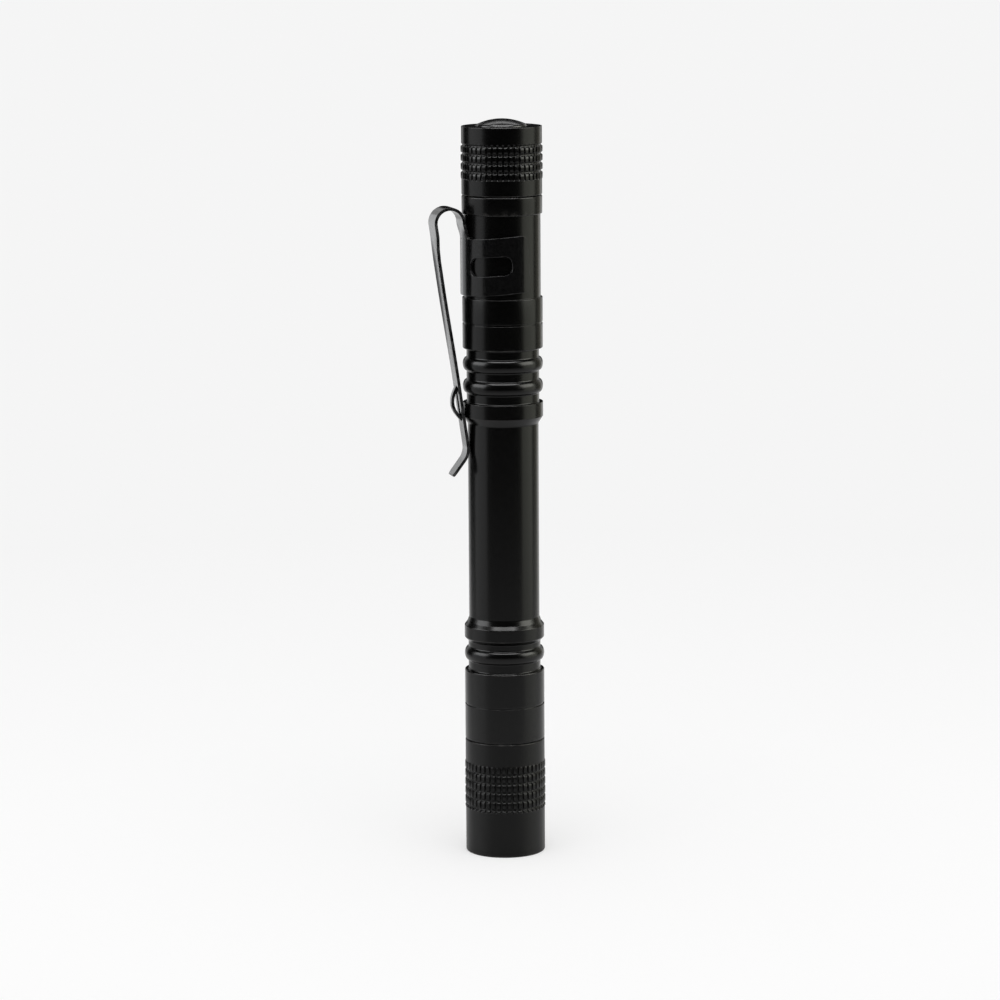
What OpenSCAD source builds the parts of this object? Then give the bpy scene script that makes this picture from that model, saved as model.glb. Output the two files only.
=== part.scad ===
// Slim pocket penlight for two AAA cells in line. A machined aluminium tube carries a screw-on
// head with lens and reflector, a screw-on tail cap with a click switch under a rubber boot,
// and a spring steel pocket clip that snaps round a recess near the tail.
// The light stands on its bezel: z = 0 is the bezel's rim, +Z runs to the tail, the clip is at -X.

/* [Cells] */
// Diameter of one AAA cell
cell_d = 10.5; // [10:0.1:11]
// Length of one AAA cell with its nub
cell_len = 44.5; // [42:0.1:48]
// Diameter of a cell's positive nub
nub_d = 3.8; // [3:0.1:5]
// Height of a cell's positive nub
nub_h = 0.8; // [0.5:0.1:1.5]
// Radial room between cells and tube
bore_clear = 0.1; // [0.05:0.01:0.3]

/* [Walls] */
// Wall of the tube's two threaded necks
neck_wall = 0.9; // [0.8:0.05:1.2]
// Radial room between a neck and the shell that screws over it
thread_clear = 0.1; // [0.05:0.01:0.2]
// Wall of the head and the tail cap over the necks
shell_wall = 0.75; // [0.65:0.05:1.2]
// Wall of the plain grip
grip_wall = 0.93; // [0.7:0.01:1.2]
// Wall of the waists between the beads
waist_wall = 1.08; // [0.8:0.01:1.3]
// Wall of the recess that the clip snaps round
recess_wall = 1.43; // [1.1:0.01:1.6]

/* [Threads and seals] */
// Thread pitch
thread_pitch = 0.75; // [0.6:0.05:0.9]
// Depth of a thread groove
thread_depth = 0.3; // [0.15:0.05:0.4]
// Thread grooves on the front neck
front_threads = 4; // [2:1:4]
// Thread grooves on the tail neck
tail_threads = 2; // [1:1:3]
// Length of the neck inside the head
front_neck_len = 5.3; // [5:0.1:7]
// Length of the neck inside the tail cap
tail_neck_len = 3.75; // [3.6:0.05:6]
// Width of a seal's groove
seal_groove_w = 0.9; // [0.7:0.05:1.1]
// Depth of a seal's groove
seal_groove_depth = 0.5; // [0.4:0.05:0.6]
// Distance of a seal's groove from the joint face
seal_groove_at = 0.5; // [0.4:0.05:0.7]
// Radial room inside and outside a seal
seal_clear = 0.03; // [0.02:0.01:0.05]
// Axial gap at the head's and the cap's joint faces
joint_gap = 0.1; // [0.05:0.01:0.2]
// Chamfer at the joint faces
joint_edge = 0.15; // [0.05:0.05:0.3]

/* [Knurl] */
// Teeth around
knurl_count = 45; // [24:1:60]
// Pitch of the rows of teeth
knurl_pitch = 1.53; // [1.2:0.01:1.8]
// Width of the groove between two rows
knurl_gap = 0.4; // [0.2:0.05:0.6]
// Width of the slot between two teeth
knurl_slot = 0.4; // [0.2:0.05:0.6]
// Height of the teeth above the plain surface
knurl_rise = 0.1; // [0:0.01:0.2]
// Depth of grooves and slots from the tooth tips
knurl_depth = 0.28; // [0.15:0.01:0.35]
// Rows on the head
head_knurl_rows = 6; // [2:1:7]
// Rows on the tail cap
tail_knurl_rows = 4; // [2:1:5]
// Distance from the head's joint face to its knurl
head_knurl_at = 4.2; // [2:0.1:6]
// Distance from the tail cap's joint face to its knurl
tail_knurl_at = 2.95; // [1.5:0.05:3.5]

/* [Head] */
// Thickness of the bezel's lip in front of the lens
bezel_lip = 1; // [0.7:0.1:1.5]
// Chamfer of the bezel's outer edge
bezel_edge = 0.35; // [0.1:0.05:0.6]
// Chamfer of the light opening
bezel_flare = 0.4; // [0.1:0.05:0.6]
// Wall of the head round lens and reflector
head_wall = 1; // [0.8:0.05:1.3]
// Radial cover of the lip over the lens
lens_cover = 0.75; // [0.5:0.05:1]
// Thickness of the lens gasket
gasket_h = 0.5; // [0.3:0.1:0.8]
// Thickness of the lens
lens_h = 1.4; // [1:0.1:2]
// Length of the reflector
reflector_h = 7.7; // [6:0.1:10]
// Wall of the reflector
reflector_wall = 0.5; // [0.3:0.05:0.6]
// Radial width of the reflector's rim
reflector_rim = 0.7; // [0.6:0.05:1]
// Thickness of the reflector's rim
reflector_rim_h = 0.8; // [0.5:0.1:1.5]
// Radial play of parts that drop into a shell
seat_clear = 0.05; // [0.02:0.01:0.1]

/* [Emitter and driver] */
// Width of the square emitter package
led_w = 3.45; // [2.8:0.05:3.6]
// Height of the emitter package
led_h = 0.7; // [0.5:0.05:1]
// Diameter of the emitter's dome
led_dome_d = 2.6; // [2:0.1:2.8]
// Radial room between the dome and the reflector's hole
led_dome_clear = 0.7; // [0.4:0.05:0.9]
// Room between the emitter's corners and the centring ring
led_ring_clear = 0.15; // [0.05:0.01:0.3]
// Radial width of the centring ring
led_ring_w = 1.3; // [0.8:0.1:1.6]
// Axial gap between the centring ring and the reflector
led_ring_gap = 0.05; // [0.02:0.01:0.1]
// Radial inset of the emitter board from the pill's edge
led_board_inset = 1.1; // [0.5:0.1:1.4]
// Thickness of the emitter board
led_board_h = 1; // [0.8:0.1:1.6]
// Thickness of the pill's flange
pill_flange_h = 3.1; // [2.5:0.1:4]
// Radial room between the pill's flange and the head
pill_clear = 0.2; // [0.1:0.05:0.3]
// Wall of the pill's skirt
pill_wall = 0.7; // [0.6:0.05:0.9]
// Wall of the skirt round the driver board
driver_seat_wall = 0.35; // [0.25:0.05:0.45]
// Depth of the pill's hollow for the driver parts
driver_depth = 3.2; // [2.6:0.1:4]
// Thickness of the driver board
driver_h = 0.8; // [0.6:0.1:1.2]
// Length of skirt behind the driver board
skirt_lip = 1; // [0.5:0.1:1.5]
// Distance of the emitter leads from the axis
lead_at = 3.3; // [3:0.1:3.8]
// Diameter of an emitter lead
lead_d = 0.7; // [0.5:0.05:0.8]
// Radial room round a lead in the pill
lead_clear = 0.15; // [0.1:0.05:0.2]
// Diameter of the driver's choke
choke_d = 3; // [2:0.1:3.4]
// Height of the driver's choke
choke_h = 1.6; // [1:0.1:2]
// Width of the driver's chip
chip_w = 2.4; // [1.5:0.1:3]
// Height of the driver's chip
chip_h = 1.1; // [0.6:0.1:1.5]
// Distance of choke and chip from the axis
driver_parts_at = 2; // [1.8:0.1:2.4]
// Working length of the front contact spring
contact_len = 4.6; // [3.5:0.1:6]
// Radius of the front contact spring at the driver
contact_base_r = 2.3; // [2:0.1:3]
// Radius of the front contact spring at the cell
contact_tip_r = 1.4; // [1:0.1:1.8]
// Wire of the front contact spring
contact_wire = 0.5; // [0.3:0.05:0.6]
// Turns of the front contact spring
contact_turns = 3; // [2:1:3]

/* [Tube outside] */
// Length of the plain collar behind the head
collar_len = 13; // [10:0.1:16]
// Distance of the collar's groove from the head joint
collar_groove_at = 6.3; // [4:0.1:9]
// Width of a decorative groove
groove_w = 0.35; // [0.2:0.05:0.5]
// Depth of a decorative groove
groove_depth = 0.17; // [0.1:0.01:0.3]
// Waist between collar and front bead
front_waist_a = 1.15; // [0.8:0.05:2]
// Length of the front bead
front_bead_len = 2.85; // [2:0.05:4]
// Waist between front bead and front flange
front_waist_b = 0.8; // [0.5:0.05:2]
// Chamfer under the front flange
front_flange_edge = 0.7; // [0.3:0.05:1]
// Length of the front flange
front_flange_len = 2.15; // [1.5:0.05:3]
// Taper from the front flange to the grip
front_taper_len = 1.55; // [1:0.05:2]
// Taper from the grip to the rear flange
rear_taper_len = 1.25; // [1:0.05:2]
// Length of the rear flange
rear_flange_len = 2.85; // [2:0.05:4]
// Length of each rear waist
rear_waist_len = 1.45; // [1:0.05:2]
// Length of each rear bead
rear_bead_len = 2.4; // [1.8:0.05:3]
// Length of the band below the clip
band_len = 9.2; // [7:0.1:11]
// Distance of the band's groove from the clip recess
band_groove_at = 4.7; // [3:0.1:6]
// Length of the clip recess
recess_len = 14.7; // [14:0.1:18]
// Length of the ring between recess and tail joint
tail_ring_len = 3.25; // [2.5:0.05:5]
// Small chamfer on shoulders
shoulder_edge = 0.2; // [0.1:0.05:0.3]

/* [Tail cap and switch] */
// Working length of the tail spring
tail_spring_len = 10; // [8:0.1:12]
// Radius of the tail spring at the switch
tail_spring_base_r = 3.3; // [3:0.1:3.6]
// Radius of the tail spring at the cell
tail_spring_tip_r = 2.3; // [2:0.1:3]
// Wire of the tail spring
tail_wire = 0.6; // [0.4:0.05:0.8]
// Turns of the tail spring
tail_turns = 5; // [3:1:6]
// Gap between a spring's end and the cell
spring_gap = 0.05; // [0.02:0.01:0.1]
// Gap between the tail neck and the retaining ring
neck_gap = 0.1; // [0.05:0.01:0.3]
// Thickness of the retaining ring
retainer_h = 1; // [0.8:0.1:1.5]
// Bore of the retaining ring
retainer_bore_d = 8; // [7.6:0.1:9]
// Diameter of the retaining ring's two spanner holes
spanner_d = 1; // [0.6:0.1:1.2]
// Step between the cap's thread and its switch pocket
pocket_step = 0.25; // [0.1:0.05:0.4]
// Thickness of the switch board
switch_board_h = 0.8; // [0.6:0.1:1.2]
// Width of the square switch case
switch_w = 7; // [6:0.1:7.2]
// Height of the switch case
switch_h = 3.2; // [2.8:0.1:4]
// Floor of the switch case
switch_floor = 0.4; // [0.3:0.05:0.6]
// Wall of the spacer that clamps the boot
spacer_wall = 1.15; // [0.8:0.05:1.4]
// Room between the switch's round corners and the spacer
spacer_clear = 0.1; // [0.05:0.01:0.2]
// Width of a switch pin
pin_w = 0.6; // [0.4:0.05:0.8]
// Length of pin below the switch board
pin_reach = 0.5; // [0.3:0.05:0.8]
// Distance of the pins from the axis
pin_at = 1.9; // [1.6:0.1:2]
// Room round a pin in the switch board
pin_clear = 0.1; // [0.05:0.01:0.2]
// Travel of the button
press = 1; // [0.5:0.1:1.5]
// Room left under the crown when the button is pressed
press_spare = 0.2; // [0.1:0.05:0.5]
// Thickness of the cap's end web
web_h = 1.25; // [1:0.05:2]
// Edge chamfer of the cap's rim
rim_edge = 0.3; // [0.1:0.05:0.5]
// Edge chamfer of the button's hole
hole_edge = 0.2; // [0.1:0.05:0.4]

/* [Button] */
// Diameter of the button's crown
crown_d = 9; // [7.5:0.1:9.6]
// Radial room between the crown and the cap's hole
crown_hole_clear = 0.2; // [0.1:0.05:0.3]
// Radial room between the crown and the boot's flange
crown_flange_clear = 0.1; // [0.05:0.01:0.2]
// Thickness of the boot's flange
flange_h = 0.8; // [0.6:0.1:1.2]
// Wall of the crown
crown_wall = 0.8; // [0.5:0.05:1]
// Height of the crown's straight edge above the cap's rim
crown_edge = 0.15; // [0.05:0.05:0.4]
// Height of the dome above the straight edge
dome_rise = 1.1; // [0.6:0.05:1.6]
// Diameter of the switch plunger
plunger_d = 3.2; // [3:0.1:3.6]
// Wall of the switch plunger
plunger_wall = 0.5; // [0.4:0.05:0.6]
// Radial room of the plunger in the switch case
plunger_clear = 0.1; // [0.05:0.01:0.15]
// Length of plunger inside the switch case
plunger_grip = 1.7; // [1.4:0.1:2]
// Length of the plunger's head above its spring
plunger_cap = 1.6; // [1:0.1:2]
// Length of the nub under the dome
crown_nub = 1; // [0.5:0.1:1.2]
// Wire of the switch spring
switch_wire = 0.25; // [0.2:0.01:0.3]
// Radial room between the switch spring and the plunger
switch_spring_clear = 0.15; // [0.1:0.05:0.2]
// Turns of the switch spring
switch_turns = 4; // [2:1:4]

/* [Clip] */
// Thickness of the clip's sheet
clip_sheet = 0.55; // [0.4:0.05:0.7]
// Radial room between the clip's band and the recess
clip_clear = 0.08; // [0.05:0.01:0.1]
// Height of the band
clip_band_h = 10; // [8:0.1:11]
// Gap below the band at its root
clip_band_at = 0.5; // [0.2:0.1:1]
// Angle that each arm of the band reaches round the tube
clip_wrap = 111; // [95:1:130]
// Lean of the band's edges
clip_lean = 5; // [0:0.5:6]
// Corner radius of the band's ends
clip_corner = 1.2; // [0.5:0.1:2]
// Length of the window in each arm
window_len = 7.8; // [4:0.1:8]
// Height of the window in each arm
window_h = 3.5; // [2:0.1:5]
// Angle from the root to the middle of a window
window_angle = 57; // [55:1:62]
// Distance of the windows from the band's lower edge
window_at = 5.1; // [4:0.1:6]
// Width of the strip at its root and loop
strip_w = 4.4; // [3:0.1:5]
// Width of the strip at its tip
tip_w = 3; // [2:0.1:4]
// Corner radius of the tip
tip_corner = 0.7; // [0.3:0.1:0.9]
// Height of the loop's centre above the band
root_rise = 2.8; // [2:0.1:3]
// Outward lean of the strip between band and loop
root_lean = 0.12; // [0.05:0.01:0.3]
// Overlap of strip and band at the root
root_embed = 0.8; // [0.4:0.1:2]
// Radius of the loop at mid sheet
loop_r = 2.75; // [2.5:0.05:3.5]
// Gap where the band's half of the loop meets the arm's half
split_gap = 0.06; // [0.04:0.01:0.1]
// Gap between the arm and the rear flange
arm_gap = 0.37; // [0.2:0.01:1]
// Length of arm past the rear flange to the bend
arm_tail = 5.7; // [4:0.1:8]
// Bend radius at the foot of the arm
bend_r = 5; // [3:0.1:6]
// Outward angle of the flared tip
flare_angle = 32; // [15:1:45]
// Length of the flared tip
flare_len = 5.25; // [4:0.05:8]
// Length of the bridge lanced out of the arm
bridge_len = 6.4; // [5:0.1:8]
// Rise of the bridge from the arm
bridge_rise = 1.5; // [1:0.1:2]
// Width of the bridge
bridge_w = 1.5; // [1:0.1:1.8]
// Thickness of the bridge
bridge_sheet = 0.5; // [0.3:0.05:0.6]
// Distance of the bridge's middle above the rear flange's lower edge
bridge_at = 2.6; // [1:0.1:5]

/* [Hidden] */
$fn = 72;
// Overrun of every cut past the face it opens
overrun = 0.5;
// Steps along a bead, a dome, the reflector's curve and a bend of the clip
curve_steps = 10;
// Rings along one turn of a spring, and sides of its wire
spring_rings = 8;
spring_sides = 6;
// Share by which a spring's end turns are closer than its middle turns
spring_ease_share = 0.25;

// Radii, from the cells outwards
cell_r = cell_d / 2;
bore_r = cell_r + bore_clear;
neck_r = bore_r + neck_wall;
thread_bore_r = neck_r + thread_clear;
body_r = thread_bore_r + shell_wall;
grip_r = bore_r + grip_wall;
waist_r = bore_r + waist_wall;
recess_r = bore_r + recess_wall;
seal_floor_r = neck_r - seal_groove_depth;
seal_mid_r = (seal_floor_r + thread_bore_r) / 2;
seal_r = (thread_bore_r - seal_floor_r) / 2 - seal_clear;
knurl_r = body_r + knurl_rise;
knurl_floor_r = knurl_r - knurl_depth;
head_bore_r = body_r - head_wall;
lens_r = head_bore_r - seat_clear;
aperture_r = lens_r - lens_cover;
mouth_r = lens_r - reflector_rim;
reflector_hole_r = led_dome_d / 2 + led_dome_clear;
led_ring_bore_r = led_w / sqrt(2) + led_ring_clear;
pill_r = head_bore_r - pill_clear;
led_board_r = pill_r - led_board_inset;
skirt_r = bore_r - seat_clear;
skirt_bore_r = skirt_r - pill_wall;
driver_seat_r = skirt_r - driver_seat_wall;
driver_r = driver_seat_r - seat_clear;
pocket_r = thread_bore_r - pocket_step;
switch_part_r = pocket_r - seat_clear;
retainer_bore_r = retainer_bore_d / 2;
spacer_bore_r = switch_part_r - spacer_wall;
switch_corner_r = spacer_bore_r - spacer_clear;
crown_r = crown_d / 2;
button_hole_r = crown_r + crown_hole_clear;
flange_bore_r = crown_r + crown_flange_clear;
crown_bore_r = crown_r - crown_wall;
plunger_r = plunger_d / 2;
plunger_bore_r = plunger_r - plunger_wall;
switch_bore_r = plunger_r + plunger_clear;
switch_spring_r = plunger_bore_r - switch_spring_clear - switch_wire / 2;

// Heights, from the bezel's rim upwards
gasket_z = bezel_lip;
lens_z = gasket_z + gasket_h;
reflector_z = lens_z + lens_h;
led_z = reflector_z + reflector_h;
led_board_z = led_z + led_h;
pill_z = led_board_z + led_board_h;
neck_z = pill_z + pill_flange_h;
head_joint_z = neck_z + front_neck_len;
driver_z = neck_z + driver_depth;
contact_z = driver_z + driver_h;
cells_z = contact_z + contact_len;
rear_cell_z = cells_z + cell_len;
cells_end_z = rear_cell_z + cell_len;
switch_z = cells_end_z + tail_spring_len;
retainer_z = switch_z - retainer_h;
tail_neck_z = retainer_z - neck_gap;
tail_joint_z = tail_neck_z - tail_neck_len;
case_z = switch_z + switch_board_h;
case_top_z = case_z + switch_h;
flange_z = case_top_z + press + press_spare;
web_z = flange_z + flange_h;
rim_z = web_z + web_h;
dome_z = rim_z + crown_edge;
crown_z = dome_z + dome_rise;
crown_foot_z = flange_z + crown_flange_clear;
crown_roof_z = crown_z - crown_wall;
plunger_top_z = crown_roof_z - crown_nub;
plunger_foot_z = case_top_z - plunger_grip;
spring_roof_z = plunger_top_z - plunger_cap;
head_end_z = head_joint_z - joint_gap / 2;
head_shoulder_z = head_joint_z + joint_gap / 2;
cap_end_z = tail_joint_z + joint_gap / 2;
tail_shoulder_z = tail_joint_z - joint_gap / 2;
head_knurl_top_z = head_joint_z - head_knurl_at;
tail_knurl_z = tail_joint_z + tail_knurl_at;

// Places along the outside of the tube
collar_end_z = head_joint_z + collar_len;
front_bead_z = collar_end_z + front_waist_a;
front_waist_z = front_bead_z + front_bead_len;
front_flange_z = front_waist_z + front_waist_b + front_flange_edge;
front_taper_z = front_flange_z + front_flange_len;
grip_z = front_taper_z + front_taper_len;
recess_end_z = tail_joint_z - tail_ring_len;
recess_z = recess_end_z - recess_len;
band_z = recess_z - band_len;
bead_b_z = band_z - rear_waist_len - rear_bead_len;
bead_a_z = bead_b_z - rear_waist_len - rear_bead_len;
rear_flange_end_z = bead_a_z - rear_waist_len;
rear_flange_z = rear_flange_end_z - rear_flange_len;
grip_end_z = rear_flange_z - rear_taper_len;

// The clip's side outline runs in the plane y = 0, with x = -distance from the axis
clip_r = recess_r + clip_clear;
clip_mid_r = clip_r + clip_sheet / 2;
clip_band_z = recess_z + clip_band_at;
clip_band_top_z = clip_band_z + clip_band_h;
loop_c = [-(clip_mid_r + root_lean + loop_r), clip_band_top_z + root_rise];
arm_rest = [-(body_r + arm_gap + clip_sheet / 2), rear_flange_z];
arm_run = loop_c - arm_rest;
arm_slope = atan(-arm_run[0] / arm_run[1]) + asin(loop_r / norm(arm_run));
// Unit vectors along the arm towards the tip, and out of its face
arm_way = [sin(arm_slope), -cos(arm_slope)];
arm_out = [-cos(arm_slope), -sin(arm_slope)];
flare_way = [-sin(flare_angle), -cos(flare_angle)];
bend_reach = bend_r * tan((arm_slope + flare_angle) / 2);
bend_corner = arm_rest + arm_tail * arm_way;
bend_c = bend_corner - bend_reach * arm_way + bend_r * arm_out;
tip = bend_corner + flare_len * flare_way;
split_angle = asin(split_gap / loop_r / 2);
strip_taper_len = loop_c[1] - tip[1];

// Ring of rectangular section between two radii
module ring(inner_r, outer_r, z, h) {
    translate([0, 0, z])
        difference() {
            cylinder(r = outer_r, h = h);
            translate([0, 0, -overrun])
                cylinder(r = inner_r, h = h + 2 * overrun);
        }
}

// Bore from z upwards
module bore(r, z, h) {
    translate([0, 0, z])
        cylinder(r = r, h = h);
}

// Thread drawn as rings at its pitch, cut into a neck from z upwards
module thread_cuts(z, count) {
    for (i = [0 : count - 1])
        rotate_extrude()
            polygon([
                [neck_r - thread_depth, z + (i + 1 / 2) * thread_pitch],
                [neck_r + overrun, z + (i + 1 / 2) * thread_pitch - thread_pitch / 2 - overrun],
                [neck_r + overrun, z + (i + 1 / 2) * thread_pitch + thread_pitch / 2 + overrun]
            ]);
}

// Rows of teeth from z = 0 upwards, each with a groove above it
module knurl_cuts(rows) {
    for (i = [0 : rows - 1])
        ring(knurl_floor_r, knurl_r + overrun, (i + 1) * knurl_pitch - knurl_gap, knurl_gap);
    for (i = [0 : knurl_count - 1])
        rotate([0, 0, i * 360 / knurl_count])
            translate([knurl_floor_r, -knurl_slot / 2, 0])
                cube([knurl_depth + overrun, knurl_slot, rows * knurl_pitch - knurl_gap]);
}

// Points of a rounded bead between two heights on the waist
function bead(z, len, steps = curve_steps) = [
    for (i = [0 : steps])
        let (a = 180 * i / steps)
            [waist_r + (body_r - waist_r) * sin(a), z + len * (1 - cos(a)) / 2]
];

// Outline of the tube's outside, from the front neck to the tail neck
tube_outline = concat(
    [
        [0, neck_z], [neck_r - shoulder_edge, neck_z], [neck_r, neck_z + shoulder_edge],
        [neck_r, head_shoulder_z], [body_r - joint_edge, head_shoulder_z],
        [body_r, head_shoulder_z + joint_edge],
        [body_r, collar_end_z - shoulder_edge], [body_r - shoulder_edge, collar_end_z],
        [waist_r, collar_end_z]
    ],
    bead(front_bead_z, front_bead_len),
    [
        [waist_r, front_flange_z - front_flange_edge], [body_r, front_flange_z],
        [body_r, front_taper_z], [grip_r, grip_z], [grip_r, grip_end_z], [body_r, rear_flange_z],
        [body_r, rear_flange_end_z - shoulder_edge], [body_r - shoulder_edge, rear_flange_end_z],
        [waist_r, rear_flange_end_z]
    ],
    bead(bead_a_z, rear_bead_len),
    bead(bead_b_z, rear_bead_len),
    [
        [waist_r, band_z], [body_r - shoulder_edge, band_z], [body_r, band_z + shoulder_edge],
        [body_r, recess_z - shoulder_edge], [body_r - shoulder_edge, recess_z],
        [recess_r, recess_z], [recess_r, recess_end_z], [body_r - shoulder_edge, recess_end_z],
        [body_r, recess_end_z + shoulder_edge], [body_r, tail_shoulder_z - joint_edge],
        [body_r - joint_edge, tail_shoulder_z], [neck_r, tail_shoulder_z],
        [neck_r, tail_neck_z - shoulder_edge], [neck_r - shoulder_edge, tail_neck_z],
        [0, tail_neck_z]
    ]
);

module body_tube() {
    color("#17181b")
        difference() {
            rotate_extrude()
                polygon(tube_outline);
            bore(bore_r, neck_z - overrun, tail_neck_z - neck_z + 2 * overrun);
            ring(body_r - groove_depth, body_r + overrun, head_joint_z + collar_groove_at, groove_w);
            ring(body_r - groove_depth, body_r + overrun, recess_z - band_groove_at, groove_w);
            ring(seal_floor_r, neck_r + overrun, head_shoulder_z - seal_groove_at - seal_groove_w,
                seal_groove_w);
            ring(seal_floor_r, neck_r + overrun, tail_shoulder_z + seal_groove_at, seal_groove_w);
            thread_cuts(neck_z + shoulder_edge, front_threads);
            thread_cuts(tail_neck_z - shoulder_edge - tail_threads * thread_pitch, tail_threads);
        }
}

// Seal ring of round section, centred on its groove
module seal(z) {
    rotate_extrude()
        translate([seal_mid_r, z])
            circle(r = seal_r);
}

module head_oring() {
    color("#2b2b2b")
        seal(head_shoulder_z - seal_groove_at - seal_groove_w / 2);
}

module tail_oring() {
    color("#2b2b2b")
        seal(tail_shoulder_z + seal_groove_at + seal_groove_w / 2);
}

module head_shell() {
    knurl_len = head_knurl_rows * knurl_pitch;
    color("#1b1b1a")
        difference() {
            rotate_extrude()
                polygon([
                    [0, 0], [body_r - bezel_edge, 0], [body_r, bezel_edge],
                    [body_r, head_knurl_top_z - knurl_len], [knurl_r, head_knurl_top_z - knurl_len],
                    [knurl_r, head_knurl_top_z], [body_r, head_knurl_top_z],
                    [body_r, head_end_z - joint_edge], [body_r - joint_edge, head_end_z],
                    [0, head_end_z]
                ]);
            translate([0, 0, head_knurl_top_z])
                mirror([0, 0, 1])
                    knurl_cuts(head_knurl_rows);
            bore(aperture_r, -overrun, bezel_lip + 2 * overrun);
            translate([0, 0, -overrun])
                cylinder(r1 = aperture_r + bezel_flare + overrun, r2 = aperture_r,
                    h = bezel_flare + overrun);
            bore(head_bore_r, gasket_z, head_end_z);
            bore(thread_bore_r, neck_z - overrun, head_end_z);
        }
}

module lens_gasket() {
    color("#303030")
        ring(aperture_r, lens_r, gasket_z, gasket_h);
}

module lens() {
    color("#cfe4ea", 0.4)
        bore(lens_r, lens_z, lens_h);
}

// Bowl of the reflector at a share of its length, 0 at the emitter and 1 at the mouth
function bowl_r(share) =
    sqrt(pow(reflector_hole_r, 2) + share * (pow(mouth_r, 2) - pow(reflector_hole_r, 2)));

function bowl_points(offset_r) = [
    for (i = [0 : curve_steps])
        let (share = i / curve_steps)
            [bowl_r(share) + offset_r, led_z - share * reflector_h]
];

function reversed(list) = [for (i = [len(list) - 1 : -1 : 0]) list[i]];

module reflector() {
    color("#d9dbdd")
        union() {
            rotate_extrude()
                polygon(concat(bowl_points(0), reversed(bowl_points(reflector_wall))));
            ring(mouth_r, lens_r, reflector_z, reflector_rim_h);
        }
}

module led_ring() {
    color("#f0f0ea")
        ring(led_ring_bore_r, led_ring_bore_r + led_ring_w, led_z + led_ring_gap, led_h - led_ring_gap);
}

module led_package() {
    color("#e9e2c4")
        translate([-led_w / 2, -led_w / 2, led_z])
            cube([led_w, led_w, led_h]);
}

module led_dome() {
    color("#f3d94e")
        difference() {
            translate([0, 0, led_z])
                sphere(d = led_dome_d);
            translate([-led_dome_d, -led_dome_d, led_z])
                cube([2 * led_dome_d, 2 * led_dome_d, led_dome_d]);
        }
}

module led_board() {
    color("#e4e6e4")
        bore(led_board_r, led_board_z, led_board_h);
}

// Runs its children once on either side of the axis
module both_sides(at) {
    for (side = [-1, 1])
        translate([0, side * at, 0])
            children();
}

module pill() {
    skirt_len = driver_depth + driver_h + skirt_lip;
    color("#b08d4a")
        difference() {
            union() {
                bore(pill_r, pill_z, pill_flange_h);
                bore(skirt_r, pill_z, pill_flange_h + skirt_len);
            }
            bore(skirt_bore_r, neck_z, skirt_len + overrun);
            bore(driver_seat_r, driver_z, skirt_len);
            both_sides(lead_at)
                bore(lead_d / 2 + lead_clear, pill_z - overrun, pill_flange_h + 2 * overrun);
        }
}

module led_leads() {
    color("#b03a2e")
        both_sides(lead_at)
            bore(lead_d / 2, pill_z, driver_z - pill_z);
}

module driver_board() {
    color("#1f6b45")
        bore(driver_r, driver_z, driver_h);
}

module driver_parts() {
    color("#3a3a3a") {
        translate([driver_parts_at, 0, 0])
            bore(choke_d / 2, driver_z - choke_h, choke_h);
        translate([-driver_parts_at - chip_w / 2, -chip_w / 2, driver_z - chip_h])
            cube([chip_w, chip_w, chip_h]);
    }
}

// Wire of a spring wound between two radii over a height, as points along its middle
function coil_points(base_r, tip_r, height, turns) = [
    for (i = [0 : turns * spring_rings])
        let (share = i / turns / spring_rings, a = 360 * i / spring_rings,
            r = base_r + (tip_r - base_r) * share,
            climb = share - spring_ease_share * sin(360 * share) / (2 * PI))
            [r * cos(a), r * sin(a), height * climb]
];

// Ring of points round the wire at one step of the coil
function wire_ring(p, step, wire) =
    let (a = 360 * step / spring_rings)
        [for (k = [0 : spring_sides - 1])
            let (b = 360 * k / spring_sides)
                p + wire / 2 * [cos(b) * cos(a), cos(b) * sin(a), sin(b)]];

// Least clear distance between two passes of the wire
function coil_gap(points, wire) =
    min([for (i = [0 : len(points) - 1])
        for (j = [i + spring_rings / 2 : 1 : len(points) - 1])
            norm(points[i] - points[j])]) - wire;

// One unbroken wire, closed at both ends
module coil(base_r, tip_r, height, turns, wire) {
    points = coil_points(base_r, tip_r, height, turns);
    last = len(points) - 1;
    skin = [for (i = [0 : last]) each wire_ring(points[i], i, wire)];
    sides = [for (i = [0 : last - 1], k = [0 : spring_sides - 1])
        let (n = (k + 1) % spring_sides, low = i * spring_sides, high = low + spring_sides)
            each [[low + k, high + n, low + n], [low + k, high + k, high + n]]];
    ends = [for (k = [1 : spring_sides - 2])
        each [[0, k, k + 1],
            [last * spring_sides, last * spring_sides + k + 1, last * spring_sides + k]]];
    echo(least_gap = coil_gap(points, wire));
    polyhedron(skin, concat(sides, ends));
}

module contact_spring() {
    color("#c9c5b8")
        translate([0, 0, contact_z + contact_wire / 2])
            coil(contact_base_r, contact_tip_r, contact_len - contact_wire, contact_turns, contact_wire);
}

// AAA cell with its nub towards the head
module cell(z) {
    bore(nub_d / 2, z, cell_len);
    bore(cell_r, z + nub_h, cell_len - nub_h);
}

module front_cell() {
    color("#8d9298")
        cell(cells_z);
}

module rear_cell() {
    color("#8d9298")
        cell(rear_cell_z);
}

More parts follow.
